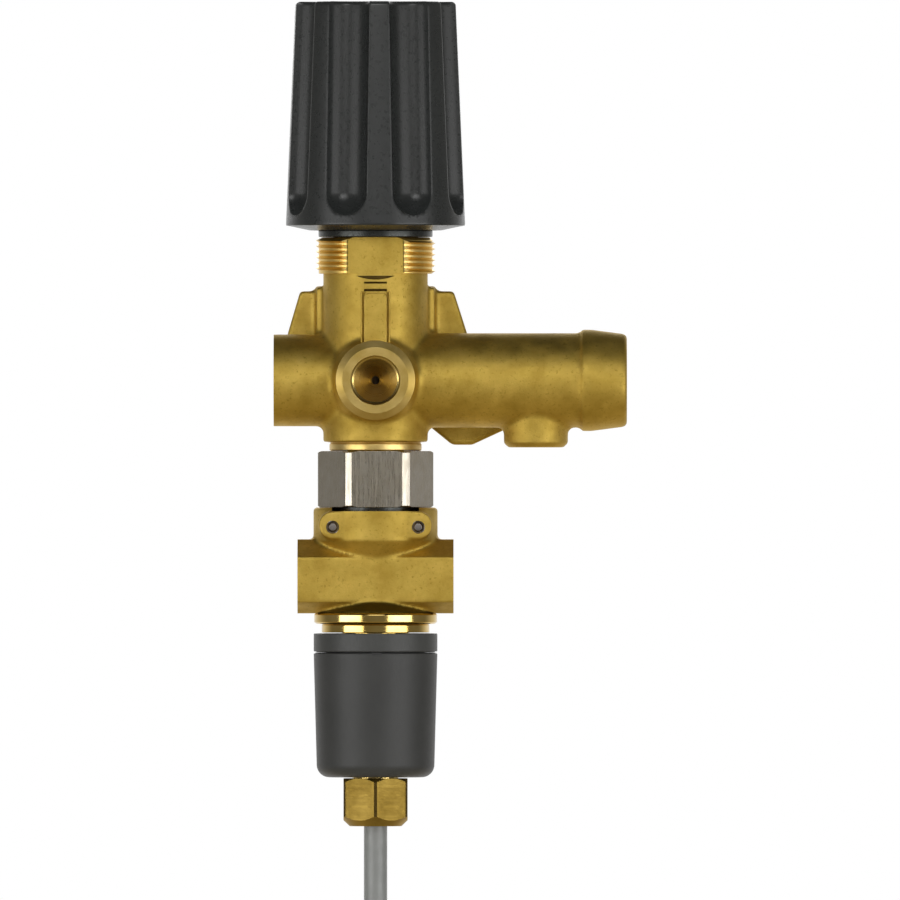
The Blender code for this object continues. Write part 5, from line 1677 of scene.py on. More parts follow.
@dataclass
class ValveForging:
    """The forged brass housing, bored, faced and threaded."""

    bench: Bench
    finishes: Finishes
    ridge: ThreadRidge
    tree: NodeTree
    neck_radius: float = 0.0141
    neck_low: float = -0.0166
    thread_foot: float = 0.0288
    thread_crest: float = 0.0162
    thread_root: float = 0.01535
    thread_pitch: float = 0.0015
    thread_chamfer: float = 0.0008
    flat: float = 0.01325
    foot_ring: float = 0.01245
    inlet_radius: float = 0.0124
    inlet_reach: float = 0.0275
    outlet_radius: float = 0.01275
    outlet_reach: float = 0.0679
    collar_radius: float = 0.0137
    collar_length: float = 0.0121
    collar_end: float = 0.0126
    gauge_radius: float = 0.0107
    gauge_root: float = 0.0128
    gauge_reach: float = 0.022
    port_radius: float = 0.0079
    port_depth: float = 0.014
    gauge_bore: float = 0.0063
    gauge_depth: float = 0.0085
    gauge_chamfer: float = 0.0004
    gauge_rim: float = 0.0018
    orifice: float = 0.0011
    boss_x: float = 0.0433
    boss_radius: float = 0.00865
    boss_low: float = -0.0181
    boss_chamfer: float = 0.0012
    pad_half: float = 0.0163
    pad_top: float = 0.0255
    pad_front: float = 0.003
    plate_low: float = -0.0105
    plate_thickness: float = 0.008
    rib_half: float = 0.0040
    rib_low: float = 0.008
    rib_top: float = 0.0239
    rib_proud: float = 0.0017
    rail: float = 0.00055
    crescent_half: float = 0.0053
    crescent_sag: float = 0.00105
    crescent_depth: float = 0.0015
    slot_depth: float = 0.0009
    panel_half: float = 0.0031
    panel_top: float = 0.0235
    panel_round: float = 0.0012
    fixing_radius: float = 0.0025
    fixing_depth: float = 0.0065
    fixings: tuple[Pair, ...] = ((-0.018, 0.0155), (0.018, 0.0155), (0.0235, -0.0105))
    piston_bore: float = 0.007
    seat_top: float = -0.0088
    spring_bore: float = 0.0102
    spring_floor: float = 0.0212
    skirt_bore: float = 0.0115
    skirt: float = 0.0073
    way_radius: float = 0.0055
    check_way: float = 0.0046
    check_seat: float = 0.0061
    flat_over: float = 0.0006
    ridge_sink: float = 0.00003
    ridge_start: float = 0.0007
    ridge_spare: float = 0.0012
    lug_low: float = 0.0246
    lug_top: float = 0.0261
    voxel: float = 0.00042
    fillet: float = 0.0008

    def forms(self, top: float) -> list[Mesh]:
        """The overlapping forms of the forging.

        Args:
            top: Height at which the neck ends inside the threaded part.

        Returns:
            Closed meshes, a little long where a machined face follows.
        """
        over = 0.0006
        stand = standing()
        neck = turned(
            [(0, self.neck_low), (self.neck_radius, self.neck_low), (self.neck_radius, top), (0, top)]
        )
        inlet = rod(self.inlet_radius, 0, self.inlet_reach + over, Way.LEFT, segments=96)
        collar = self.outlet_reach - self.collar_length
        outlet = turned(
            [
                (0, 0), (self.outlet_radius, 0), (self.outlet_radius, collar - 0.0006),
                (self.collar_radius, collar), (self.collar_radius, collar + self.collar_length / 5),
                *arc((self.collar_end - 0.0014, self.outlet_reach - 0.0014), 0.0014, 10, 90, 5),
                (0, self.outlet_reach),
            ],
            96, Way.RIGHT,
        )
        gauge = turned(
            [
                (0, 0), (self.gauge_root, 0), (self.gauge_root, 0.0093),
                (self.gauge_radius + 0.0006, self.neck_radius),
                (self.gauge_radius, self.neck_radius + 0.0012),
                (self.gauge_radius, self.gauge_reach + over), (0, self.gauge_reach + over),
            ],
            96, Way.FRONT,
        )
        foot = -self.boss_low
        boss = turned(
            [
                (0, 0), (self.boss_radius, 0), (self.boss_radius, foot - self.boss_chamfer),
                (self.boss_radius - self.boss_chamfer, foot), (0, foot),
            ],
            96, Way.DOWN, on_axis(self.boss_x),
        )
        front = -AXIS_Y - self.plate_thickness
        plate = prism(self.plate_outline(), AXIS_Y - over, -front, stand, 0.0007)
        inset = 0.0003
        pad = box(
            (-self.pad_half + inset, AXIS_Y + self.pad_front, self.plate_low + inset),
            (self.pad_half - inset, -0.001, self.pad_top - inset),
            0.0005,
        )
        return [neck, inlet, outlet, gauge, boss, plate, pad]

    def plate_outline(self) -> list[Pair]:
        """Outline of the bolting plate with its wings and lower lug.

        Returns:
            The outline.
        """
        corner = 0.0014
        lug_low = -0.0174
        run = 1.23 * (self.plate_low - lug_low)
        return [
            (-self.pad_half, self.pad_top), (-self.pad_half, 0.0241), (-0.0204, 0.0241),
            (-0.0238, 0.0125), (-0.0238, self.plate_low), (0.0207 - run, self.plate_low),
            (0.0207, lug_low), (0.0261, lug_low), (0.038, self.plate_low - corner),
            (0.038, self.plate_low + 3 * corner), (0.0262, 0), (0.0248, 0.0125), (0.0211, 0.0241),
            (self.pad_half, 0.0241), (self.pad_half, self.pad_top),
        ]

    def rib(self) -> list[Mesh]:
        """The raised rib on the neck, its panel with round upper corners, and the small lug over it.

        Returns:
            Closed meshes that are added.
        """
        stand = standing()
        face = self.neck_radius + self.rib_proud
        root = self.neck_radius / 2
        half, radius = self.panel_half, self.panel_round
        rails = []
        for side in (-1, 1):
            edges = sorted((side * self.rib_half, side * (self.rib_half - self.rail)))
            rail = rectangle(edges[0], self.rib_low, edges[1], self.rib_top)
            rails.append(prism(rail, root, face - 0.0009, stand, 0.00018))
        panel = [(-half, self.rib_low), (half, self.rib_low)]
        panel += arc((half - radius, self.panel_top - radius), radius, 0, 90, 6)
        panel += arc((radius - half, self.panel_top - radius), radius, 90, 180, 6)
        lug = rectangle(-half, self.lug_low, half, self.lug_top)
        return [
            *rails,
            prism(panel, root, face, stand, 0.00022),
            prism(lug, root, face - 0.0003, stand, 0.00015),
        ]

    def recesses(self) -> list[Mesh]:
        """The crescent under the milled flat and the two slots round the small lug.

        Returns:
            Closed meshes that are cut away.
        """
        stand = standing()
        front = self.neck_radius + 0.003
        top = self.thread_foot - self.flat_over
        half, sag = self.crescent_half, self.crescent_sag
        radius = (half**2 + sag**2) / 2 / sag
        swing = math.degrees(math.asin(half / radius))
        crescent = arc((0, top - sag + radius), radius, 270 - swing, 270 + swing, 16)
        made = [prism(crescent, self.neck_radius - self.crescent_depth, front, stand)]
        for low, high in ((self.rib_top + 0.0001, self.lug_low), (self.lug_top, self.lug_top + 0.0005)):
            slot = rectangle(-self.panel_half, low, self.panel_half, high)
            made.append(prism(slot, self.neck_radius - self.slot_depth, front, stand))
        return made

    def turned_parts(self, low: float, high: float) -> list[Mesh]:
        """The crisp turned parts of the outside: the threaded end and the foot ring.

        Args:
            low: Height of the housing's foot.
            high: Height of its top.

        Returns:
            The threaded end and the foot ring.
        """
        root, chamfer = self.thread_root, self.thread_chamfer
        end = turned(
            eased(
                [
                    (0, self.thread_foot), (root, self.thread_foot), (root, high - chamfer),
                    (root - chamfer, high), (0, high),
                ],
                0.0002,
            ),
            128,
        )
        ring = self.foot_ring
        foot = turned(
            eased(
                [
                    (0, low), (ring - 0.0003, low), (ring, low + 0.0003), (ring, self.neck_low - 0.0006),
                    (ring - 0.0003, self.neck_low - 0.0004), (ring - 0.0003, self.neck_low - 0.0002),
                    (self.neck_radius - 0.0005, self.neck_low + 0.00005),
                    (self.neck_radius - 0.0003, self.neck_low + 0.0006), (0, self.neck_low + 0.0006),
                ],
                0.00015,
            ),
            128,
        )
        return [end, foot]

    def facing(self, reach: float, radius: float, chamfer: float, way: Way) -> Mesh:
        """The ring that a facing cut takes off a barrel's end, with its outer chamfer.

        Args:
            reach: Distance of the face from the centre.
            radius: Outer radius of the barrel.
            chamfer: Width of the chamfer, or zero for none.
            way: Direction that the face looks to.

        Returns:
            The ring.
        """
        far, over = radius + 0.004, reach + 0.003
        face = [(0, reach), (far, reach)]
        if chamfer:
            drop = reach - chamfer * 0.5
            face = [(0, reach), (radius - chamfer, reach), (radius, drop), (far, drop - 0.0001)]
        return turned([*face, (far, over), (0, over)], 128, way)

    def drills(self, low: float, high: float) -> list[Mesh]:
        """Every bore of the housing.

        Args:
            low: Height of the housing's foot.
            high: Height of its top.

        Returns:
            The drills of the valve's axis, outlet, inlet, gauge port and fixing holes.
        """
        seat_high = self.seat_top + GAP
        skirt_floor = high - self.skirt
        over = 0.008
        stack = turned(
            [
                (0, low - over), (self.port_radius, low - over), (self.port_radius, seat_high),
                (self.piston_bore, seat_high), (self.piston_bore, self.spring_floor),
                (self.spring_bore, self.spring_floor), (self.spring_bore, skirt_floor),
                (self.skirt_bore, skirt_floor), (self.skirt_bore, high + over), (0, high + over),
            ],
            96,
        )
        floor = self.outlet_reach - self.port_depth
        seat = 0.0205
        outlet = turned(
            [
                (0, 0), (self.check_way, 0), (self.check_way, seat - (self.check_seat - self.check_way)),
                (self.check_seat, seat), (self.piston_bore, seat), (self.piston_bore, floor),
                (self.port_radius, floor), *mouth(self.port_radius, self.outlet_reach),
            ],
            96, Way.RIGHT,
        )
        inlet = port_drill(self.inlet_reach, self.port_depth, self.port_radius, self.way_radius, Way.LEFT)
        gauge_floor = self.gauge_reach - self.gauge_depth
        cone = (self.gauge_bore - self.orifice) / math.tan(math.radians(59))
        gauge = turned(
            [
                (0, 0), (self.orifice, 0), (self.orifice, gauge_floor - cone),
                (self.gauge_bore, gauge_floor),
                *mouth(self.gauge_bore, self.gauge_reach, self.gauge_chamfer),
            ],
            128, Way.FRONT,
        )
        ends = (-AXIS_Y - self.fixing_depth, -AXIS_Y + self.fixing_depth)
        fixings = [rod(self.fixing_radius, *ends, Way.BACK, on_axis(x, z), 48) for x, z in self.fixings]
        return [stack, outlet, inlet, gauge, *fixings]

    def threads(self, high: float) -> None:
        """Cuts the visible threads: the neck and the three ports.

        Args:
            high: Height of the housing's top.
        """
        length = high - self.thread_foot - self.ridge_spare
        root, proud = self.thread_root - self.ridge_sink, self.thread_crest - self.thread_root
        mesh = self.ridge.cut(self.tree, root, self.thread_pitch, length, proud, True, self.finishes.thread)
        mesh.transform(Matrix.Translation(on_axis(0, self.thread_foot + self.ridge_start)))
        limit = box((-0.02, AXIS_Y - self.flat, 0), (0.02, AXIS_Y + self.flat, high))
        mesh = self.bench.fuse(mesh, [limit], Join.KEEP)
        self.bench.piece(
            "neck_thread", mesh, Body.VALVE, self.finishes.thread, "turned_brass", ["valve_housing"], 20
        )
        for name, way, reach, radius, depth in (
            ("inlet_thread", Way.LEFT, self.inlet_reach, self.port_radius, 0.0118),
            ("outlet_thread", Way.RIGHT, self.outlet_reach, self.port_radius, 0.0108),
            ("gauge_thread", Way.FRONT, self.gauge_reach, self.gauge_bore, 0.0058),
        ):
            finish = self.finishes.bore_y if way is Way.FRONT else self.finishes.turned_x
            mesh = self.ridge.in_port(self.tree, radius, depth, reach, way, finish)
            self.bench.piece(name, mesh, Body.VALVE, finish, "turned_brass", ["valve_housing"], 20)

    def mark(self) -> None:
        """Raises the plain triangle on the front of the lower neck."""
        half, height, middle = 0.0014, 0.0024, -0.0132
        outline = [(-half, middle + height / 2), (0, middle - height / 2), (half, middle + height / 2)]
        stand = standing()
        outer = prism(outline, self.neck_radius - 0.001, self.neck_radius + 0.0002, stand)
        inner = prism(
            [(x * 0.45, middle + (z - middle) * 0.45 + 0.0001) for x, z in outline],
            self.neck_radius - 0.002, self.neck_radius + 0.002, stand,
        )
        mesh = self.bench.fuse(outer, [inner], Join.CUT)
        self.bench.piece(
            "flow_mark", mesh, Body.VALVE, self.finishes.forged, "forged_brass", ["valve_housing"]
        )

    def build(self) -> None:
        """Casts, machines and threads the housing."""
        low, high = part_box("valve_housing")
        skin = self.bench.cast(self.forms(self.thread_foot + 0.001), self.voxel, self.fillet)
        crisp = self.turned_parts(low.z, high.z)
        solid = self.bench.fuse(skin, [*crisp, *self.rib()], Join.ADD)
        reach = 0.04
        foot = self.thread_foot - self.flat_over
        flats = [
            box((-reach, AXIS_Y - reach, foot), (reach, AXIS_Y - self.flat, high.z + reach)),
            box((-reach, AXIS_Y + self.flat, foot), (reach, AXIS_Y + reach, high.z + reach)),
        ]
        rear = box((-0.06, 0, -0.04), (0.09, 0.01, 0.05))
        recesses = self.recesses()
        faces = [
            self.facing(self.inlet_reach, self.inlet_radius, 0.0, Way.LEFT),
            self.facing(self.gauge_reach, self.gauge_radius, self.gauge_rim, Way.FRONT),
            self.facing(self.outlet_reach - 0.00005, self.collar_radius, 0.0, Way.RIGHT),
        ]
        drills = self.drills(low.z, high.z)
        solid = self.bench.fuse(solid, [*flats, *recesses, rear, *faces, *drills], Join.CUT)
        looks = self.finishes
        dress(
            solid, looks.forged, looks.faced_z, looks.turned_x, looks.turned_y, looks.thread,
            looks.bore_y, looks.painted_shade,
        )
        machined(solid, [crisp[0]], 4)
        machined(solid, [crisp[1], drills[0]], 1)
        machined(solid, [faces[0], faces[2], drills[1], drills[2]], 2)
        machined(solid, [faces[1], rear, *drills[4:]], 3)
        machined(solid, [drills[3]], 5)
        # The recesses get the very dark brass as painted shade.
        machined(solid, recesses, 6)
        self.bench.piece("valve_forging", solid, Body.VALVE, None, "forged_brass", ["valve_housing"])
        self.threads(high.z)
        self.mark()


@dataclass
class SwivelNipple:
    """The steel swivel nipple between the housing and the switch block."""

    bench: Bench
    finishes: Finishes
    across_flats: float = 0.0282
    bar_radius: float = 0.0156
    seam: float = 0.00027
    turn: float = math.radians(2)
    hex_height: float = 0.01465
    spigot: float = 0.0076
    tail: float = 0.0119
    bore: float = 0.005
    seal_root: float = 0.0105
    seal_half: float = 0.001

    def build(self) -> None:
        """Makes the hexagon, turns its spigot and tail, and bores it."""
        low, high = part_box("swivel_nipple")
        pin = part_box("retaining_pin_left")
        pin_z = (pin[0].z + pin[1].z) / 2
        groove = (pin[1].x - pin[0].x) / 2 + GAP
        hex_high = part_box("valve_housing")[0].z - GAP
        hex_low = hex_high - self.hex_height
        seal = (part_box("nipple_o_ring")[0].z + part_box("nipple_o_ring")[1].z) / 2
        floor = -pin[0].x - 2 * groove + GAP
        foot, crown = hex_low - self.seam, hex_high + self.seam
        body = prism(
            hexagon(self.across_flats, self.turn), foot, crown, Matrix.Translation(on_axis()), 0.00012
        )
        outer = self.bar_radius
        limit = turned(
            eased(
                [
                    (0, foot), (outer - 0.0006, foot), (outer, foot + 0.0004), (outer, crown - 0.0004),
                    (outer - 0.0006, crown), (0, crown),
                ],
                0.0001,
            ),
            128,
        )
        body = self.bench.fuse(body, [limit], Join.KEEP)
        spigot = turned(
            eased(
                [
                    (0, hex_high - 0.002), (self.spigot, hex_high - 0.002), (self.spigot, high.z - GAP),
                    (self.spigot - GAP, high.z), (0, high.z),
                ],
                0.0002,
            ),
            96,
        )
        tail = turned(
            eased(
                [
                    (0, hex_low + 0.002), (self.tail, hex_low + 0.002), (self.tail, pin_z + groove),
                    (floor, pin_z + groove), (floor, pin_z - groove), (self.tail, pin_z - groove),
                    (self.tail, seal + self.seal_half), (self.seal_root, seal + self.seal_half),
                    (self.seal_root, seal - self.seal_half), (self.tail, seal - self.seal_half),
                    (self.tail, low.z), (0, low.z),
                ],
                0.0001,
            ),
            96,
        )
        body = self.bench.fuse(body, [spigot, tail], Join.ADD)
        body = self.bench.fuse(body, [rod(self.bore, low.z - 0.002, high.z + 0.002)], Join.CUT)
        # The tail under the hexagon gets the black steel: painted shade where it shows in the block's slot.
        dress(body, self.finishes.steel, self.finishes.black_steel)
        for face in body.polygons:
            face.material_index = int(face.center.z < foot - 0.0001)
        self.bench.piece("hexagon_nipple", body, Body.VALVE, None, "steel", ["swivel_nipple"])


@dataclass
class SwitchBlock:
    """The forged block: collar with pin bosses, bar with two return ports, and its pins."""

    bench: Bench
    finishes: Finishes
    ridge: ThreadRidge
    tree: NodeTree
    slot: float = 0.001
    slot_half: float = 0.0118
    collar_radius: float = 0.01675
    collar: float = 0.009
    cone: float = 0.0044
    pin_hole: float = 0.00175
    boss_height: float = 0.0075
    boss_half: float = 0.0153
    boss_face: float = 0.0145
    bar_drop: float = 0.0086
    bar_height: float = 0.02
    bar_half_depth: float = 0.013
    upper_bevel: float = 0.0048
    lower_bevel: float = 0.0031
    bar_top_half: float = 0.0045
    bar_low_half: float = 0.005
    port_radius: float = 0.0079
    port_depth: float = 0.0085
    ring_radius: float = 0.0163
    adapter_bore: float = 0.0088
    way_radius: float = 0.0055
    nipple_bore: float = 0.0123
    thread_length: float = 0.0064
    voxel: float = 0.00034
    fillet: float = 0.00045

    def forms(self, half_length: float, top: float) -> list[Mesh]:
        """The overlapping forms of the block's forging.

        Args:
            half_length: Half the length of the bar.
            top: Height of the collar's top.

        Returns:
            Closed meshes, with the bar a little long at both ends.
        """
        cone_low = top - self.collar - self.cone
        collar = turned(
            [
                (0, top), (self.collar_radius - 0.0006, top), (self.collar_radius, top - 0.0006),
                (self.collar_radius, top - self.collar), (self.bar_half_depth, cone_low),
                (self.bar_half_depth - 0.0006, cone_low - self.cone), (0, cone_low - self.cone),
            ]
        )
        bar_top = top - self.bar_drop
        bar_low = bar_top - self.bar_height
        bar = [
            (-self.bar_top_half, bar_top), (-self.bar_half_depth, bar_top - self.upper_bevel),
            (-self.bar_half_depth, bar_low + self.lower_bevel), (-self.bar_low_half, bar_low),
            (self.bar_low_half, bar_low), (self.bar_half_depth, bar_low + self.lower_bevel),
            (self.bar_half_depth, bar_top - self.upper_bevel), (self.bar_top_half, bar_top),
        ]
        along = Matrix(((0, 0, 1, 0), (1, 0, 0, AXIS_Y), (0, 1, 0, 0), (0, 0, 0, 1)))
        foot_high = bar_low + self.lower_bevel
        foot = turned(
            [
                (0, bar_low + 0.0001), (self.ring_radius, bar_low + 0.0001),
                (self.bar_half_depth, foot_high), (0, foot_high + 0.003),
            ]
        )
        boss_low = top - self.slot - self.boss_height
        middle = boss_low + self.boss_height / 2
        ends = self.boss_height / 2
        straight = self.boss_half - ends
        outline = arc((straight, middle), ends, -90, 90, 12) + arc((-straight, middle), ends, 90, 270, 12)
        stand = standing()
        return [
            collar,
            prism(bar, -half_length - 0.0005, half_length + 0.0005, along),
            foot,
            prism(outline, -self.boss_face, self.boss_face, stand, 0.0003),
        ]

    def drills(self, top: float, low: float) -> list[Mesh]:
        """The drills of the slot, the stepped bore and the pin holes.

        Args:
            top: Height of the block's top.
            low: Height of its foot.

        Returns:
            The slot, the bore and the two pin holes.
        """
        reach, over = 0.04, 0.004
        slot = box(
            (-self.slot_half, AXIS_Y - reach, top - self.slot),
            (self.slot_half, AXIS_Y + reach, top + reach),
        )
        tail_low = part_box("swivel_nipple")[0].z - GAP
        spigot_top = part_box("switch_adapter")[1].z + GAP
        bore = turned(
            [
                (0, low - over), (self.adapter_bore, low - over), (self.adapter_bore, spigot_top),
                (self.way_radius, spigot_top), (self.way_radius, tail_low), (self.nipple_bore, tail_low),
                (self.nipple_bore, top + over), (0, top + over),
            ],
            96,
        )
        made = [slot, bore]
        for pin in ("retaining_pin_left", "retaining_pin_right"):
            place = (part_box(pin)[0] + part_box(pin)[1]) / 2
            made.append(rod(self.pin_hole, -reach, reach, Way.BACK, place, 48))
        return made

    def ports(self, half_length: float, height: float) -> list[Mesh]:
        """The drills of the two return ports.

        Args:
            half_length: Half the length of the bar.
            height: Height of the ports' middle.

        Returns:
            The left and the right drill.
        """
        return [
            port_drill(
                half_length, self.port_depth, self.port_radius, self.way_radius, way, on_axis(0, height)
            )
            for way in (Way.LEFT, Way.RIGHT)
        ]

    def pins(self) -> None:
        """Drives the two retaining pins into their holes."""
        for side in ("left", "right"):
            low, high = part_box(f"retaining_pin_{side}")
            radius = (high.x - low.x) / 2
            half = (high.y - low.y) / 2
            middle = (low + high) / 2
            collar, seat = self.pin_hole - 0.00004, 0.0011
            upper = [
                (radius, half - seat - 0.0008), (collar, half - seat - 0.0008), (collar, half - seat),
                (radius, half - seat), (radius, half - 0.0003), (radius - 0.0003, half), (0, half),
            ]
            lower = [(r, -height) for r, height in reversed(upper)]
            mesh = turned(eased([*lower, *upper], 0.00008), 40, Way.BACK, middle)
            self.bench.piece(
                f"block_pin_{side}", mesh, Body.SWITCH, self.finishes.pin_steel, "steel",
                [f"retaining_pin_{side}"],
            )

    def build(self) -> None:
        """Casts and machines the block and sets its pins and threads."""
        low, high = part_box("switch_block")
        half = (high.x - low.x) / 2
        top = high.z
        height = (top - self.bar_drop - self.upper_bevel + low.z + self.lower_bevel) / 2
        skin = self.bench.cast(self.forms(half, top), self.voxel, self.fillet)
        ends = [
            box((-half - 0.01, AXIS_Y - 0.03, low.z - 0.01), (-half, AXIS_Y + 0.03, top)),
            box((half, AXIS_Y - 0.03, low.z - 0.01), (half + 0.01, AXIS_Y + 0.03, top)),
            box((-0.03, AXIS_Y - 0.03, low.z - 0.01), (0.03, AXIS_Y + 0.03, low.z)),
        ]
        drills = self.drills(top, low.z)
        ports = self.ports(half, height)
        solid = self.bench.fuse(skin, [*ends, *drills, *ports], Join.CUT)
        # The block's brass, with painted shade on its flared foot just above the adapter's ring.
        flare = (self.ring_radius - self.bar_half_depth) / self.lower_bevel
        foot_shaded_brass = ForgedBrass(
            "block_brass_shaded_foot", foot=(low.z, self.ring_radius, flare, self.lower_bevel)
        ).material()
        dress(solid, foot_shaded_brass, self.finishes.faced_z, self.finishes.return_x, self.finishes.hole_shade)
        machined(solid, [drills[0], drills[1], ends[2]], 1)
        machined(solid, [*ends[:2], *ports], 2)
        # The pin holes get the dark brass as painted shade.
        machined(solid, drills[2:], 3)
        self.bench.piece("block_forging", solid, Body.SWITCH, None, "forged_brass", ["switch_block"])
        self.pins()
        for name, way in (("return_thread_left", Way.LEFT), ("return_thread_right", Way.RIGHT)):
            finish = self.finishes.return_x
            mesh = self.ridge.in_port(
                self.tree, self.port_radius, self.thread_length, half, way, finish, height
            )
            self.bench.piece(name, mesh, Body.SWITCH, finish, "turned_brass", ["switch_block"], 20)


@dataclass
class SwitchHead:
    """The turned adapter, the moulded base and cap of the pressure switch, and the cable gland."""

    bench: Bench
    finishes: Finishes
    ring_radius: float = 0.0166
    ring: float = 0.0027
    neck_radius: float = 0.01455
    neck: float = 0.0021
    spigot_radius: float = 0.0085
    tail_radius: float = 0.009
    seal_root: float = 0.0071
    stem_hole: float = 0.0023
    overlap: float = 0.00005
    base_radius: float = 0.0167
    seam: float = 0.0002
    base_bore: float = 0.0093
    base_lip: float = 0.0015
    base_step: float = 0.0007
    foot_radius: float = 0.0159
    wall: float = 0.0024
    cap_round: float = 0.0034
    cap_floor: float = 0.0031
    gland_hex: float = 0.0173
    gland_foot: float = 0.007
    gland_mouth: float = 0.0045
    gland_way: float = 0.00355
    gland_thread: float = 0.0065
    cap_hole: float = 0.0065

    def adapter(self) -> Mesh:
        """Turns the adapter with its two bright rings.

        Returns:
            The closed mesh.
        """
        low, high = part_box("switch_adapter")
        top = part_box("switch_block")[0].z + self.overlap
        ring_low = top - self.ring - self.seam
        neck_low = ring_low - self.neck - self.seam
        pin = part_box("control_piston")
        bore = (pin[1].x - pin[0].x) / 2 + GAP
        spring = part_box("return_spring")[0].z - GAP
        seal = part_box("adapter_o_ring")
        seal_low, seal_high = seal[0].z - GAP, seal[1].z + GAP
        profile = [
            (self.stem_hole, low.z), (self.tail_radius, low.z), (self.tail_radius, neck_low),
            (self.neck_radius, neck_low), (self.neck_radius, ring_low - 0.0003),
            (self.neck_radius - 0.0003, ring_low), (self.ring_radius - 0.0006, ring_low),
            (self.ring_radius, ring_low + 0.0005), (self.ring_radius, top - 0.0004),
            (self.ring_radius - 0.0004, top), (self.spigot_radius, top),
            (self.spigot_radius, seal_low), (self.seal_root, seal_low), (self.seal_root, seal_high),
            (self.spigot_radius, seal_high), (self.spigot_radius, high.z), (bore, high.z),
            (bore, spring), (self.stem_hole, spring),
        ]
        return turned(eased(profile, 0.00015), 160)

    def base(self) -> Mesh:
        """Turns the moulded base ring.

        Returns:
            The closed mesh.
        """
        low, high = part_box("switch_base")
        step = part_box("switch_cap")[1].z + GAP
        inner = self.foot_radius - self.wall - GAP
        profile = [
            (self.base_bore, step), (inner - self.base_lip, step), (inner - self.base_lip, low.z), (
                inner, low.z
            ),
            (inner, step - self.seam), (self.base_radius - self.base_step, step - self.seam),
            (self.base_radius - self.base_step, step), (self.base_radius, step), (self.base_radius, high.z),
            (self.base_bore, high.z),
        ]
        return turned(eased(profile, 0.0003), 160)

    def cap(self) -> Mesh:
        """Turns the moulded cap and cuts the small pry notch at its upper edge.

        Returns:
            The closed mesh.
        """
        low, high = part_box("switch_cap")
        bore = self.foot_radius - self.wall
        profile = [
            (bore, high.z), (self.base_radius - 0.00035, high.z), (self.base_radius, high.z - 0.00035),
            *arc((self.foot_radius - self.cap_round, low.z + self.cap_round), self.cap_round, 0, -90, 12),
            (self.cap_hole, low.z), (self.cap_hole, low.z + self.cap_floor),
            (bore, low.z + self.cap_floor),
        ]
        mesh = turned(profile, 192)
        skin = AXIS_Y - self.base_radius
        notch = box(
            (-0.0010, skin - 0.001, high.z - 0.0006), (0.0018, skin + 0.0006, high.z + 0.001), 0.00015
        )
        return self.bench.fuse(mesh, [notch], Join.CUT)

    def gland(self) -> Mesh:
        """Makes the hexagonal gland nut with its cones, with painted shade on its corners.

        Returns:
            The closed mesh, with its two slots.
        """
        low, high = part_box("gland_nut")
        outer = self.gland_hex / 2 / math.cos(math.pi / 6)
        body = prism(
            hexagon(self.gland_hex, math.radians(30), 0.0010), low.z, high.z, Matrix.Translation(on_axis())
        )
        limit = turned(
            eased(
                [
                    (0, low.z), (self.gland_foot, low.z), (self.gland_foot + 0.0003, low.z + 0.0003),
                    (outer + 0.0004, low.z + 0.0032), (outer + 0.0004, high.z - 0.0016),
                    (outer - 0.0013, high.z), (0, high.z),
                ],
                0.0002,
            ),
            128,
        )
        body = self.bench.fuse(body, [limit], Join.KEEP)
        bore = turned(
            [
                (0, low.z - 0.002), (self.gland_mouth, low.z - 0.002), (self.gland_way, low.z + 0.0008),
                (self.gland_way, low.z + 0.0032), (self.gland_thread, low.z + 0.0032),
                (self.gland_thread, high.z + 0.002), (0, high.z + 0.002),
            ],
            96,
        )
        nut = self.bench.fuse(body, [bore], Join.CUT)
        dress(nut, self.finishes.nut_z, self.finishes.painted_shade)
        # Faces on the hexagon's corners get the very dark brass: a painted shade line down each corner.
        for face in nut.polygons:
            ahead = math.degrees(math.atan2(face.normal.y, face.normal.x))
            off = abs((ahead + 30) % 60 - 30)
            on_corner = off > 15 and abs(face.normal.z) < 0.1
            outside = math.hypot(face.center.x, face.center.y - AXIS_Y) > self.gland_hex / 2
            face.material_index = int(on_corner and outside)
        return nut

    def build(self) -> None:
        """Makes the adapter, the case and the gland nut."""
        make = self.bench.piece
        make(
            "bright_adapter", self.adapter(), Body.SWITCH, self.finishes.turned_z, "turned_brass",
            ["switch_adapter"],
        )
        make(
            "case_base", self.base(), Body.SWITCH, self.finishes.case_base, "case_plastic", ["switch_base"]
        )
        make("case_cap", self.cap(), Body.SWITCH, self.finishes.case, "case_plastic", ["switch_cap"])
        make("gland_hexagon", self.gland(), Body.SWITCH, None, "turned_brass", ["gland_nut"])


@dataclass
class InnerWorks:
    """Finishes of the solids that stay as they are."""

    finishes: Finishes

    def finish_of(self, node: str) -> Material:
        """Chooses the finish of one solid.

        Args:
            node: Name of the CAD node.

        Returns:
            Its material.
        """
        looks = self.finishes
        table = (
            (("o_ring", "piston_seal", "gland_seal", "coil_tie"), looks.rubber),
            (("backup_ring", "microswitch_button"), looks.white),
            (("main_spring", "check_spring", "return_spring"), looks.spring),
            (("switch_wire",), looks.brown_core), (("inner_lead", "lead_"), looks.sheath),
            (("terminal", "gland_sleeve", "check_guide"), looks.turned_x),
            (("switch_carrier",), looks.case_base),
            (("microswitch_body", "switch_cap", "switch_base"), looks.case), (("knob",), looks.knob),
            (("bonnet",), looks.black_steel), (("valve_housing", "switch_block"), looks.forged),
        )
        if node == "knob_screw":
            return looks.pin_steel
        for words, finish in table:
            if any(word in node for word in words):
                return finish
        return looks.pin_steel

    def build(self) -> None:
        """Dresses every CAD node."""
        for node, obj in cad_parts.items():
            obj.data.materials.clear()
            obj.data.materials.append(self.finish_of(node))
        LOG.info("dressed %d solids", len(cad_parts))


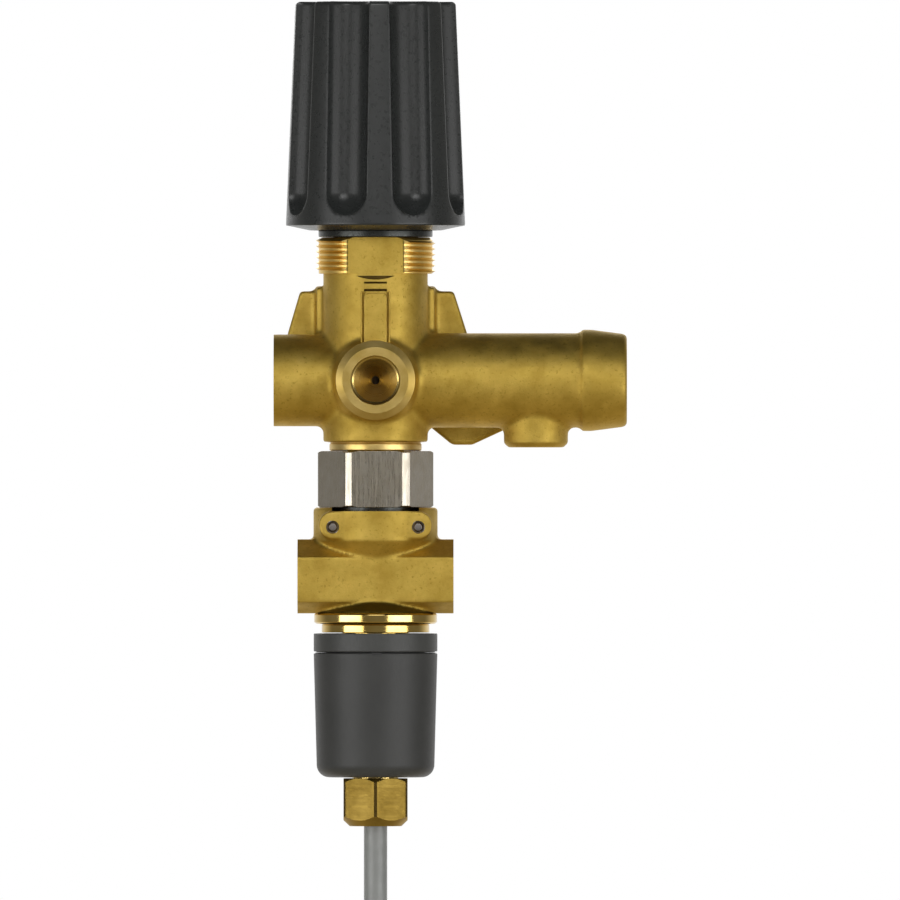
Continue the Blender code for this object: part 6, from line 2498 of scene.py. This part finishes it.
def main() -> None:
    """Builds the studio, the lead and every piece in order."""
    logging.basicConfig(level=logging.INFO, format="%(name)s: %(message)s")
    bench = Bench()
    finishes = Finishes()
    ridge = ThreadRidge(bench)
    tree = ridge.tree()
    Studio().build()
    ConnectionLead(bench, finishes).build()
    InnerWorks(finishes).build()
    AdjustingKnob(bench, finishes).build()
    SpringBonnet(bench, finishes).build()
    ValveForging(bench, finishes, ridge, tree).build()
    SwivelNipple(bench, finishes).build()
    SwitchBlock(bench, finishes, ridge, tree).build()
    SwitchHead(bench, finishes).build()


if __name__ == "__main__":
    main()
